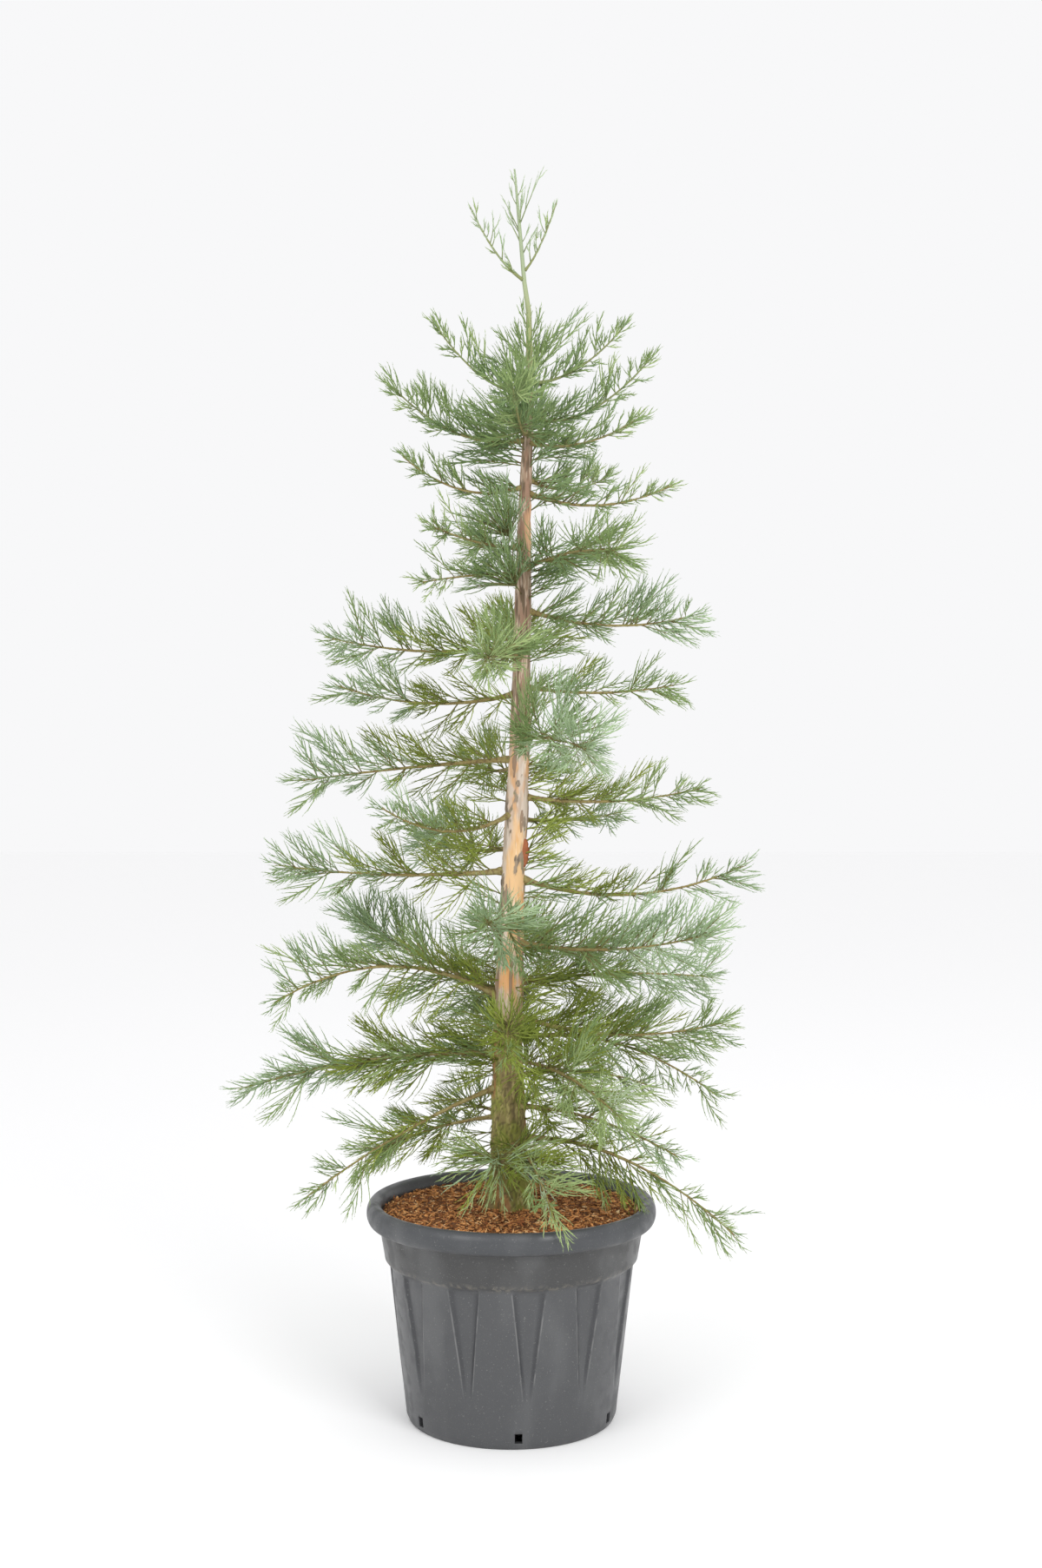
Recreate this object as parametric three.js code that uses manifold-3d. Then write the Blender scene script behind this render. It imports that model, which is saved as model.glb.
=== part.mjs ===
// A young giant sequoia in a nursery pot: pot, mulch, trunk, seven bare-rooted boughs and fifty
// masses of foliage. Millimetres, +Z up, origin at the centre of the underside of the pot.
// Azimuths are seen from above: 0 points to the right (+X), 90 to the back (+Y).
import * as THREE from 'three';
import { mergeVertices } from 'three/addons/utils/BufferGeometryUtils.js';
import Module from 'manifold-3d';

const wasm = await Module();
wasm.setup();

// ---------------------------------------------------------------- driving dimensions
const GAP = 0.3; // air between solids that touch on the real plant
const CLEARANCE = 1.2; // least air between the twigs of two different masses

const POT = {
  height: 449, floor: 8, wall: 4.5, sides: 48,
  footRadius: 211, baseRadius: 218, bodyRadius: 252, bodyTop: 322,
  collarRadius: 262, collarTopRadius: 274, collarTop: 402, rimRadius: 300, rimRoll: 23,
  flutes: 12, fluteDepth: 6, fluteFoot: 90,
  drainHoles: 6, drainHoleWidth: 15, drainHoleHeight: 20, drainHoleFoot: 14,
};
const SOIL = { height: 430, edgeHeight: 424, flatRadius: 66, chipRelief: 4, sides: 24 };

const TREE_TOP = 2572;
const TRUNK_SIDES = 10;
const TRUNK_STEPS = 14;
const FLARE = { lobes: 5, depth: 0.13, height: 110 };
// height above the floor, lean to the right, lean to the back, radius
const TRUNK_STATIONS = [
  [430, -5, 0, 47], [490, -5, 0, 40], [560, -6, 1, 37.5], [780, -8, 3, 31], [1135, 4, 6, 23.5],
  [1400, 18, 8, 21], [1670, 24, 8, 16.5], [1860, 27, 6, 13], [2000, 33, 4, 10.5],
  [2140, 38, 2, 7.5], [2280, 36, 0, 5.5], [2340, 27, 0, 4.6], [2500, 13, 0, 3.2], [TREE_TOP, 7, 0, 1.4],
];

// One row for each main bough: name, height on the trunk, azimuth, reach, rise of the tip,
// bow (arch up, or sag where negative), bare share at the root, length of its longest twigs.
const BOUGHS = [
  ['low_front', 560, 285, 345, -75, 40, 0, 120],
  ['low_right', 575, 347, 475, -180, 60, 0, 135],
  ['low_back', 612, 112, 390, -70, 30, 0, 130],
  ['low_left_twig', 622, 163, 300, -95, 15, 0, 95],
  ['low_front_right', 642, 322, 420, -50, 25, 0, 125],
  ['low_left_droop', 690, 200, 430, -205, 20, 0, 140],
  ['low_back_right', 700, 42, 430, -70, 25, 0, 135],
  ['lower_front', 735, 303, 400, -55, 30, 0, 140],
  ['lower_left', 750, 187, 545, -60, 25, 0.3, 145],
  ['lower_right', 778, 9, 450, -130, 55, 0, 145],
  ['lower_back', 795, 95, 420, -35, 20, 0, 140],
  ['front_olive', 812, 270, 330, -20, 20, 0, 145],
  ['tier3_right', 835, 344, 455, 0, -35, 0, 145],
  ['tier3_left', 856, 193, 485, 15, 75, 0.42, 145],
  ['tier3_left_back', 872, 149, 390, 140, -10, 0, 130],
  ['tier3_right_back', 895, 24, 480, -10, 15, 0, 140],
  ['tier3_back', 960, 84, 430, 10, 0, 0, 135],
  ['tier4_right_front', 985, 328, 465, 40, -25, 0, 150],
  ['tier4_front', 1018, 262, 350, 45, -15, 0, 135],
  ['tier4_right', 1120, 355, 480, 25, -50, 0.3, 130],
  ['tier4_left', 1132, 180, 490, 10, -15, 0.33, 140],
  ['tier4_back', 1180, 122, 420, 10, -20, 0, 135],
  ['tier5_left_front', 1255, 221, 350, 15, -45, 0.38, 130],
  ['tier5_right_back', 1238, 48, 350, 5, -10, 0, 125],
  ['tier5_right', 1286, 4, 385, 15, -20, 0, 115],
  ['tier5_left', 1362, 184, 450, -45, 5, 0.33, 160],
  ['tier5_back', 1350, 108, 390, 10, -20, 0, 130],
  ['tier6_right_front', 1404, 290, 365, -20, 10, 0, 130],
  ['tier6_left', 1500, 171, 390, 15, -30, 0.36, 125],
  ['tier6_right', 1512, 10, 330, 5, -15, 0, 120],
  ['tier6_front', 1572, 258, 350, -15, 5, 0, 135],
  ['tier7_left', 1594, 168, 425, 25, -20, 0, 120],
  ['tier7_right', 1672, 353, 355, -15, -28, 0, 135],
  ['tier7_back', 1640, 98, 330, 15, -20, 0, 120],
  ['tier7_left_front', 1745, 216, 250, -30, 5, 0, 115],
  ['tier8_right_front', 1752, 304, 320, 15, 15, 0, 120],
  ['tier8_front', 1796, 228, 270, 25, -10, 0, 115],
  ['tier8_back', 1815, 112, 290, 20, -20, 0, 110],
  ['tier9_right', 1912, 358, 305, 15, -35, 0, 90],
  ['tier9_left', 1925, 183, 255, 60, -40, 0, 90],
  ['tier9_right_back', 1940, 47, 260, 30, -25, 0, 95],
  ['whorl_right', 2014, 336, 235, 30, -25, 0, 110],
  ['whorl_left', 2020, 178, 285, 115, -45, 0, 105],
  ['whorl_front', 2032, 262, 220, 60, -30, 0, 115],
  ['whorl_back', 2048, 96, 250, 75, -35, 0, 115],
  ['whorl_right_up', 2062, 6, 255, 130, -45, 0, 105],
  ['crest_left', 2112, 180, 195, 145, -35, 0, 95],
  ['crest_right', 2135, 14, 205, 130, -30, 0, 95],
  ['leader_left', 2345, 184, 112, 150, -22, 0, 58],
  ['leader_right', 2362, 355, 68, 142, -18, 0, 52],
].map(([name, height, azimuth, reach, rise, bow, bare, twig], number) => (
  { name, height, azimuth, reach, rise, bow, bare, twig, number }));

const BOUGH_TIP = 1.6;
const BOUGH_SIDES = 5;
const BOUGH_STEPS = 4;
const STEM_SIDES = 4;
const STEM_STEPS = 4;

// A twig and the cords of needles on it. Shares are of the twig's length, but its root is a share
// of the stem's radius there, so that it sinks well into the stem.
const TWIG = {
  spacing: 92, least: 4, firstShare: 0.12, open: 52, close: 24, lift: 0.28,
  root: 0.55, radius: 4, rings: [0, 0.14, 0.4, 0.7],
};
const TWIG_ROLLS = [75, -68, 14, -132, 126, -22]; // degrees round the stem, 0 on its upper side
const HIGH = { from: 1900, rollShare: 0.55 }; // the highest boughs carry their twigs above them
const CORD = { open: 36, share: 0.55, lift: 0.1 };
const TRIES = [1, 0.8, 0.6, 0.4]; // a twig that would touch another mass is tried shorter

// ---------------------------------------------------------------- helpers
const radians = THREE.MathUtils.degToRad;
const lerp = THREE.MathUtils.lerp;
const UP = new THREE.Vector3(0, 0, 1);

// The same short run of numbers for the same seed, each from 0 to 1.
function seeded(seed) {
  let state = (seed * 7919 + 12345) >>> 0;
  return () => {
    state = (Math.imul(state, 1664525) + 1013904223) >>> 0;
    return state / 4294967296;
  };
}

// Value of one column of a table at a height, straight between its rows.
function atHeight(table, column, height) {
  const above = Math.max(1, table.findIndex((row) => row[0] >= height));
  const [low, high] = [table[above - 1], table[above]];
  return lerp(low[column], high[column], (height - low[0]) / (high[0] - low[0]));
}

const trunkPoint = (height) => new THREE.Vector3(
  atHeight(TRUNK_STATIONS, 1, height), atHeight(TRUNK_STATIONS, 2, height), height);

// A closed geometry becomes a solid that can be joined and cut.
function solidOf(geometry) {
  geometry.deleteAttribute('normal');
  geometry.deleteAttribute('uv');
  const merged = mergeVertices(geometry, 1e-3);
  const corners = merged.index.array;
  const kept = [];
  for (let i = 0; i < corners.length; i += 3) {
    const [a, b, c] = corners.slice(i, i + 3);
    if (a !== b && b !== c && c !== a) kept.push(a, b, c);
  }
  return new wasm.Manifold(new wasm.Mesh({
    numProp: 3, vertProperties: new Float32Array(merged.attributes.position.array),
    triVerts: new Uint32Array(kept),
  }));
}

// The largest closed body of a solid, as a geometry; sealed pockets and loose scraps go.
function geometryOf(solid) {
  const bodies = solid.decompose().sort((a, b) => b.volume() - a.volume());
  const mesh = bodies[0].getMesh();
  const geometry = new THREE.BufferGeometry();
  geometry.setAttribute('position', new THREE.Float32BufferAttribute(mesh.vertProperties, 3));
  geometry.setIndex(Array.from(mesh.triVerts));
  return geometry;
}

// Shares of a curve's length at even steps, from one to another.
const evenShares = (from, to, steps) => (
  Array.from({ length: steps + 1 }, (_, i) => lerp(from, to, i / steps)));

// A cylinder bent along a curve, with a ring at each share of it; its end faces stand square to
// the curve. radiusAt gives the radius at a share and at an angle round the curve.
function limb(curve, shares, radiusAt, sides) {
  const steps = shares.length - 1;
  const geometry = new THREE.CylinderGeometry(1, 1, 1, sides, steps);
  const chord = curve.getPoint(shares[steps]).sub(curve.getPoint(shares[0])).normalize();
  const reference = Math.abs(chord.z) > 0.85 ? new THREE.Vector3(1, 0, 0) : UP;
  const rings = shares.map((share) => {
    const along = curve.getTangent(share);
    const side = reference.clone().cross(along).normalize();
    return { share, centre: curve.getPoint(share), side, front: along.clone().cross(side) };
  });
  const position = geometry.attributes.position;
  for (let i = 0; i < position.count; i++) {
    const { share, centre, side, front } = rings[Math.round((position.getY(i) + 0.5) * steps)];
    const [x, z] = [position.getX(i), position.getZ(i)];
    const angle = Math.atan2(z, x);
    const reach = Math.hypot(x, z) * radiusAt(share, angle);
    const corner = centre.clone().addScaledVector(side, reach * Math.sin(angle))
      .addScaledVector(front, reach * Math.cos(angle));
    position.setXYZ(i, corner.x, corner.y, corner.z);
  }
  return solidOf(geometry);
}

function named(name, solid, color, roughness) {
  const mesh = new THREE.Mesh(geometryOf(solid), new THREE.MeshStandardMaterial(
    { color, roughness, metalness: 0 }));
  mesh.name = name;
  return mesh;
}

// ---------------------------------------------------------------- pot
// Outline of the inside of the pot from its mouth to the middle of its floor, drawn in by a gap.
function potInside(gap) {
  const p = POT;
  return [
    [p.collarTopRadius - p.wall, p.height - 8], [p.collarRadius - p.wall, p.bodyTop + 14],
    [p.bodyRadius - p.fluteDepth - p.wall, p.bodyTop - 6], [p.footRadius - p.wall - 2, p.floor],
    [0, p.floor],
  ].map(([radius, height], i, all) => new THREE.Vector2(
    Math.max(0, radius - gap), height + (i >= all.length - 2 ? gap : 0)));
}

// Round wall turned from one outline, with flutes pressed in that narrow towards the foot.
function pot() {
  const p = POT;
  const rimMiddle = p.height - p.rimRoll;
  const roll = Array.from({ length: 5 }, (_, i) => {
    const turn = radians(-80 + 42 * i);
    return new THREE.Vector2(
      p.rimRadius - p.rimRoll * 0.55 * (1 - Math.cos(turn)), rimMiddle + p.rimRoll * Math.sin(turn));
  });
  const outline = [
    [0, 0], [p.footRadius, 0], [p.baseRadius, 12], [lerp(p.baseRadius, p.bodyRadius, 0.25), p.fluteFoot],
    [p.bodyRadius - 1, p.bodyTop - 12], [p.bodyRadius + 1, p.bodyTop], [p.collarRadius, p.bodyTop + 10],
    [p.collarTopRadius, p.collarTop],
  ].map(([radius, height]) => new THREE.Vector2(radius, height));
  outline.push(...roll, ...potInside(0));
  const wall = new THREE.LatheGeometry(outline, p.sides);
  const position = wall.attributes.position;
  const perFlute = p.sides / p.flutes;
  const fluteTop = outline.findIndex((point) => point.y === p.bodyTop - 12);
  for (let i = fluteTop; i < position.count; i += outline.length) {
    const column = Math.floor(i / outline.length) % perFlute;
    if (column < perFlute / 2) {
      const pressed = 1 - p.fluteDepth / p.bodyRadius;
      position.setXYZ(i, position.getX(i) * pressed, position.getY(i), position.getZ(i) * pressed);
    }
  }
  wall.rotateX(Math.PI / 2);
  let shell = solidOf(wall);
  for (let i = 0; i < p.drainHoles; i++) {
    const hole = new THREE.BoxGeometry(30, p.drainHoleWidth, p.drainHoleHeight);
    hole.translate(p.baseRadius - 4, 0, p.drainHoleFoot + p.drainHoleHeight / 2);
    hole.rotateZ(radians(4 + (360 / p.drainHoles) * (i + 0.5)));
    shell = shell.subtract(solidOf(hole));
  }
  return shell;
}

// ---------------------------------------------------------------- mulch on the soil of the pot
function mulch() {
  const [mouth, collar, ...below] = potInside(2 * GAP);
  const edge = lerp(collar.x, mouth.x, (SOIL.edgeHeight - collar.y) / (mouth.y - collar.y));
  const outline = [
    ...below.reverse(), collar, new THREE.Vector2(edge, SOIL.edgeHeight),
    new THREE.Vector2(edge * 0.78, SOIL.height + 1), new THREE.Vector2(edge * 0.5, SOIL.height + 3),
    new THREE.Vector2(SOIL.flatRadius, SOIL.height), new THREE.Vector2(0, SOIL.height),
  ];
  const fill = new THREE.LatheGeometry(outline, SOIL.sides);
  const position = fill.attributes.position;
  for (let i = 0; i < position.count; i++) {
    const [x, height, z] = [position.getX(i), position.getY(i), position.getZ(i)];
    const radius = Math.hypot(x, z);
    if (height > SOIL.height - 1 && radius > SOIL.flatRadius + 1) {
      position.setY(i, height + SOIL.chipRelief * Math.sin(x * 0.09 + 2) * Math.cos(z * 0.11));
    }
  }
  fill.rotateX(Math.PI / 2);
  return solidOf(fill);
}

// ---------------------------------------------------------------- trunk
// The middle of the trunk from its flat cut on the soil to the tip, with closer steps at its foot.
const TRUNK_FOOT = SOIL.height + GAP;
const trunkHeight = (share) => lerp(TRUNK_FOOT, TREE_TOP, share ** 1.4);

class TrunkLine extends THREE.Curve {
  getPoint(share) {
    return trunkPoint(trunkHeight(share));
  }
}

// The trunk, with flare at its foot; "skin" thickens it for cutting.
function trunk(skin) {
  const radiusAt = (share, angle) => {
    const height = trunkHeight(share);
    const flare = FLARE.depth * Math.max(0, 1 - (height - TRUNK_FOOT) / FLARE.height);
    return atHeight(TRUNK_STATIONS, 3, height) * (1 + flare * Math.cos(FLARE.lobes * angle)) + skin;
  };
  return limb(new TrunkLine(), evenShares(0, 1, TRUNK_STEPS), radiusAt, TRUNK_SIDES);
}

// ---------------------------------------------------------------- boughs and their twigs
// Centre line of a bough, from the trunk's axis to its tip.
function boughLine(bough) {
  const root = trunkPoint(bough.height);
  const azimuth = radians(bough.azimuth);
  const tip = new THREE.Vector3(Math.cos(azimuth), Math.sin(azimuth), 0)
    .multiplyScalar(bough.reach).add(root);
  tip.z += bough.rise;
  const middle = root.clone().lerp(tip, 0.5);
  middle.z += 2 * bough.bow;
  return new THREE.QuadraticBezierCurve3(root, middle, tip);
}

// Radius of a bough at a share of its length; a longer bough is stouter at its root.
const boughRadius = (bough, share) => lerp(1.9 + 0.0085 * bough.reach, BOUGH_TIP, share);

// A direction opened from "along" by an angle, on the side that "roll" gives round it.
function opened(along, open, roll) {
  const side = Math.abs(along.z) > 0.95
    ? new THREE.Vector3(0, 1, 0).cross(along).normalize() : along.clone().cross(UP).normalize();
  const top = side.clone().cross(along);
  return along.clone().multiplyScalar(Math.cos(open))
    .addScaledVector(top, Math.sin(open) * Math.cos(roll))
    .addScaledVector(side, Math.sin(open) * Math.sin(roll));
}

// Twigs leave the stem in turn on its sides, top and underside, open wide at their root and
// close up towards the way the bough grows. They are longest past the middle of the bough.
function twigLines(bough, line) {
  const random = seeded(bough.number + 1);
  const first = Math.max(bough.bare, TWIG.firstShare);
  const count = Math.max(TWIG.least, Math.round((bough.reach * (1 - first)) / TWIG.spacing) + 1);
  return Array.from({ length: count }, (_, i) => {
    const share = (i + 0.3 + 0.4 * random()) / count;
    const place = lerp(first, 0.97, share);
    const root = line.getPoint(place);
    const along = line.getTangent(place);
    const turn = TWIG_ROLLS[i % TWIG_ROLLS.length] + 24 * (random() - 0.5);
    const roll = radians(turn * (bough.height > HIGH.from ? HIGH.rollShare : 1));
    const length = bough.twig * (0.62 + 0.42 * Math.sin(Math.PI * share ** 0.8)) * lerp(0.9, 1.1, random());
    const start = opened(along, radians(TWIG.open), roll);
    const end = opened(along, radians(TWIG.close), roll);
    end.z += TWIG.lift * Math.cos(roll);
    const middle = root.clone().addScaledVector(start, length * 0.5);
    const tip = middle.clone().addScaledVector(end.normalize(), length * 0.5);
    const rootRadius = TWIG.root * boughRadius(bough, place);
    return { curve: new THREE.QuadraticBezierCurve3(root, middle, tip), length, rootRadius };
  });
}

// A spray: a three-sided twig that ends in a point, with a cord of needles drawn out of each side
// between its rings as a slim three-dimensional tooth. "skin" thickens it for testing.
function spray(twig, scale, skin) {
  const corners = [];
  const faces = [];
  const add = (point) => corners.push(point.x, point.y, point.z) / 3 - 1;
  const shorter = (share) => twig.curve.getPoint(share * scale);
  const rings = TWIG.rings.map((share, ring) => {
    const along = twig.curve.getTangent(share * scale);
    const radius = (ring === 0 ? twig.rootRadius : TWIG.radius * (1 - 0.5 * share)) + skin;
    return [60, 180, 300].map((turn) => add(
      shorter(share).addScaledVector(opened(along, Math.PI / 2, radians(turn)), radius)));
  });
  faces.push([rings[0][2], rings[0][1], rings[0][0]]);
  for (let ring = 1; ring < rings.length; ring++) {
    for (let side = 0; side < 3; side++) {
      const next = (side + 1) % 3;
      const [a, b] = [rings[ring - 1][side], rings[ring - 1][next]];
      const [c, d] = [rings[ring][next], rings[ring][side]];
      if (ring === 1) {
        faces.push([a, b, c], [a, c, d]);
        continue;
      }
      const place = (TWIG.rings[ring - 1] + TWIG.rings[ring]) / 2;
      const turn = radians(120 + 120 * side);
      const heading = opened(twig.curve.getTangent(place * scale), radians(CORD.open), turn);
      heading.z += CORD.lift;
      const length = twig.length * scale * CORD.share * (1.15 - 0.4 * place) + skin;
      const tip = add(shorter(place).addScaledVector(heading.normalize(), length));
      faces.push([a, b, tip], [b, c, tip], [c, d, tip], [d, a, tip]);
    }
  }
  const point = add(shorter(1).addScaledVector(twig.curve.getTangent(scale), skin));
  const last = rings[rings.length - 1];
  faces.push([last[0], last[1], point], [last[1], last[2], point], [last[2], last[0], point]);
  const geometry = new THREE.BufferGeometry();
  geometry.setAttribute('position', new THREE.Float32BufferAttribute(corners, 3));
  geometry.setIndex(faces.flat());
  return solidOf(geometry);
}

// ---------------------------------------------------------------- keeping each mass to its space
// Every solid that is in place, with the node that it belongs to.
const placed = [];

function boxesMeet(a, b) {
  return [0, 1, 2].every((axis) => a.min[axis] <= b.max[axis] && b.min[axis] <= a.max[axis]);
}

function place(solid, owner) {
  placed.push({ solid, owner, box: solid.boundingBox() });
  return solid;
}

function isFree(solid, owner) {
  const box = solid.boundingBox();
  return placed.every((other) => other.owner === owner || !boxesMeet(box, other.box)
    || solid.intersect(other.solid).isEmpty());
}

// The space of the pot, its mulch and a hand's breadth over its rim, which no twig enters.
function potSpace() {
  const space = new THREE.CylinderGeometry(POT.rimRadius + 8, POT.rimRadius + 8, POT.height + 6, 24);
  space.rotateX(Math.PI / 2);
  space.translate(0, 0, (POT.height + 6) / 2);
  return solidOf(space);
}

// ---------------------------------------------------------------- assembly
const tree = new THREE.Group();
tree.name = 'giant_sequoia';
tree.add(named('pot', pot(), 0x2b2d31, 0.55));
tree.add(named('mulch', mulch(), 0x6b3a22, 0.95));

const stem = trunk(0);
const around = trunk(GAP);
tree.add(named('trunk', stem, 0x8a6f52, 0.9));
place(stem, 'trunk');
place(potSpace(), 'pot');

const masses = BOUGHS.map((bough) => {
  const line = boughLine(bough);
  const stretch = (from, to, sides, steps) => limb(
    line, evenShares(from, to, steps), (share) => boughRadius(bough, share), sides).subtract(around);
  let start = 0;
  if (bough.bare > 0) {
    const bare = place(stretch(0, bough.bare, BOUGH_SIDES, BOUGH_STEPS), `bough_${bough.name}`);
    tree.add(named(`bough_${bough.name}`, bare, 0x7d7440, 0.85));
    const step = 0.01;
    const stepLength = line.getPoint(bough.bare).distanceTo(line.getPoint(bough.bare + step));
    start = bough.bare + (GAP / stepLength) * step;
  }
  const owner = `foliage_${bough.name}`;
  return { bough, line, owner, parts: [place(stretch(start, 1, STEM_SIDES, STEM_STEPS), owner)] };
});

for (const { bough, line, owner, parts } of masses) {
  for (const twig of twigLines(bough, line)) {
    const scale = TRIES.find((share) => isFree(spray(twig, share, CLEARANCE), owner));
    if (scale) parts.push(place(spray(twig, scale, 0), owner));
  }
  tree.add(named(owner, wasm.Manifold.union(parts), 0x55764f, 0.8));
}

export default tree;
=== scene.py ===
# %% [markdown]
# # A young giant sequoia in a nursery pot
#
# A giant sequoia of eight or ten years is a narrow spire: one straight trunk, some fifty level
# boughs, and on every bough sprays of thin green cords. A cord is a shoot covered with small awl
# needles. This notebook grows all of it round the solids of the CAD frame: first the frame, the
# camera and the light, then the finishes, then pot and mulch, then the bark, then the sprays.

# %% The frame that everything is built on
import math
from collections import namedtuple

import bpy
import numpy as np
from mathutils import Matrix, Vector, noise


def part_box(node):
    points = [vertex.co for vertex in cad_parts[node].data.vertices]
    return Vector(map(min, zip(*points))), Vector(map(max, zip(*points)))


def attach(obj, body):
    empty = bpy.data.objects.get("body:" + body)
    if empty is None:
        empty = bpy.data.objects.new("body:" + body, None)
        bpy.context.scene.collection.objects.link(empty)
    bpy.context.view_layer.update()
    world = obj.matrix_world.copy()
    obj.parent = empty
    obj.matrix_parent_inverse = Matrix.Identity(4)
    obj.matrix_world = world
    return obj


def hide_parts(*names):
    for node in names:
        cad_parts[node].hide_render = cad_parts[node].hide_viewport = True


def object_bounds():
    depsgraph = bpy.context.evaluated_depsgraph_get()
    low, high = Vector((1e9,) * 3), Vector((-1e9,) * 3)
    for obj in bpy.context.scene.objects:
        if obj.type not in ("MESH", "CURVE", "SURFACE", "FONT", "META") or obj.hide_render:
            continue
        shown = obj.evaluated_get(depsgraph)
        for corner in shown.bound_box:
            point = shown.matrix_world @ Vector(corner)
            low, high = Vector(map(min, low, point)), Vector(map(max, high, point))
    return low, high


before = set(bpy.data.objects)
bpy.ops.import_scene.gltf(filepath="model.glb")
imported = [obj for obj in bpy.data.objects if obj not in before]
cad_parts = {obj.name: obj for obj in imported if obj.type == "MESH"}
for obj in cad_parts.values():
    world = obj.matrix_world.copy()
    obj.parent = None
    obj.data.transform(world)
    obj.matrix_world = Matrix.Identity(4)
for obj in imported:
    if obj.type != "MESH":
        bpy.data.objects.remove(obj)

cad_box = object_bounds()
pot_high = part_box("pot")[1]
trunk_low, trunk_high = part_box("trunk")
print(f"frame: {len(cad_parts)} nodes, {cad_box[1].z:.3f} m tall, pot {pot_high.z:.3f} m")

# %% [markdown]
# ## Camera, floor and light
#
# A tall plant is seen from chest height and from a few metres away, with a lens a little longer
# than normal, so that its outline isn't drawn out of shape. The camera could look up or down at
# the plant, but level verticals need it almost level. A pale floor and a pale sky of soft light
# let every thin cord stand out, and one large lamp gives the round trunk and pot a soft side.

# %% Camera
EYE = Vector((0.02, -4.05, 1.405))
LOOK_DOWN = math.radians(1.34)

camera_data = bpy.data.cameras.new("camera")
camera_data.lens = 45.0
camera_data.sensor_width = 36.0
camera = bpy.data.objects.new("camera", camera_data)
camera.location = EYE
camera.rotation_euler = (math.pi / 2 - LOOK_DOWN, 0, 0)
bpy.context.scene.collection.objects.link(camera)
bpy.context.scene.camera = camera
print(f"camera: {camera_data.lens} mm lens at {tuple(round(v, 3) for v in EYE)}")


# %% Mesh and colour helpers
def paint(red, green, blue):
    """A colour given as 0 to 255 on a screen, as the linear values that shaders take."""
    share = np.array([red, green, blue]) / 255
    linear = np.where(share <= 0.04045, share / 12.92, ((share + 0.055) / 1.055) ** 2.4)
    return (*linear.tolist(), 1.0)


def make_mesh(name, points, faces, materials, tint=None, smooth=True):
    """An object from arrays: points (n, 3) in metres, faces (m, corners), a material's number for each."""
    mesh = bpy.data.meshes.new(name)
    mesh.vertices.add(len(points))
    mesh.vertices.foreach_set("co", np.asarray(points, np.float32).ravel())
    mesh.loops.add(faces.size)
    mesh.loops.foreach_set("vertex_index", np.asarray(faces, np.int32).ravel())
    mesh.polygons.add(len(faces))
    mesh.polygons.foreach_set("loop_start", np.arange(0, faces.size, faces.shape[1], dtype=np.int32))
    for material in materials:
        mesh.materials.append(material)
    if tint is not None:
        mesh.polygons.foreach_set("material_index", np.asarray(tint, np.int32))
    mesh.polygons.foreach_set("use_smooth", np.full(len(faces), smooth))
    mesh.update(calc_edges=True)
    piece = bpy.data.objects.new(name, mesh)
    bpy.context.scene.collection.objects.link(piece)
    return piece


def settle(piece, slot_name, *nodes):
    """The piece rides with the plant and stands for CAD nodes; the slot name is not used."""
    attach(piece, "root")
    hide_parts(*nodes)
    triangles = sum(len(face.vertices) - 2 for face in piece.data.polygons)
    print(f"{piece.name}: {triangles} triangles, stands for {len(nodes)} nodes")
    return triangles


def halved(quads):
    """Two triangles for each quad."""
    return np.vstack([quads[:, [0, 1, 2]], quads[:, [0, 2, 3]]])


def ring_corners(rings, sides):
    """On closed rings of points: the number of each point, and of the one beside it."""
    ring, side = np.meshgrid(np.arange(rings), np.arange(sides), indexing="ij")
    return ring * sides + side, ring * sides + (side + 1) % sides


print(f"128 on a screen is {paint(128, 128, 128)[0]:.3f} to a shader")

# %% Floor
FLOOR_SIDE = 40.0

half = FLOOR_SIDE / 2
floor_material = bpy.data.materials.new("pale floor")
floor_material.use_nodes = True
floor_shader = floor_material.node_tree.nodes["Principled BSDF"]
floor_shader.inputs["Base Color"].default_value = paint(253, 253, 253)
floor_shader.inputs["Roughness"].default_value = 0.9
floor = make_mesh(
    "floor", np.array([[-half, -half, 0], [half, -half, 0], [half, half, 0], [-half, half, 0]]),
    np.array([[0, 1, 2, 3]]), [floor_material])
print(f"floor: {FLOOR_SIDE:.0f} m square")

# %% Light
SKY = paint(248, 248, 249)
LAMP_TARGET = (0, 0, 1.2)

world = bpy.data.worlds.new("soft sky")
world.use_nodes = True
world.node_tree.nodes["Background"].inputs["Color"].default_value = SKY
world.node_tree.nodes["Background"].inputs["Strength"].default_value = 1.0
bpy.context.scene.world = world
bpy.context.scene.view_settings.view_transform = "Standard"


def soft_lamp(name, place, size, power):
    """A square lamp that shines from a place towards the middle of the plant."""
    data = bpy.data.lights.new(name, "AREA")
    data.size = size
    data.energy = power
    lamp = bpy.data.objects.new(name, data)
    lamp.location = place
    lamp.rotation_euler = (Vector(LAMP_TARGET) - Vector(place)).to_track_quat("-Z", "Y").to_euler()
    bpy.context.scene.collection.objects.link(lamp)


soft_lamp("lamp over the right shoulder", (2.6, -4.2, 3.4), 2.5, 130)
soft_lamp("lamp over the left shoulder", (-3.0, -3.6, 2.8), 2.5, 60)
print("sky and two soft lamps are in place")

# %% [markdown]
# ## Finishes
#
# Every real surface here is mottled: plastic holds dust, bark is blotched, wood has fibres. That
# could be painted by hand or taken from images, but patterns worked out in space need no
# unwrapping and can be reused. So two small node groups are built once: *Blotches* gives soft
# patches of any size, stretched along the trunk or not, and *Grain* adds a fine broken height.
# Each material places them with its own values and keeps its own shader.


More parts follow.
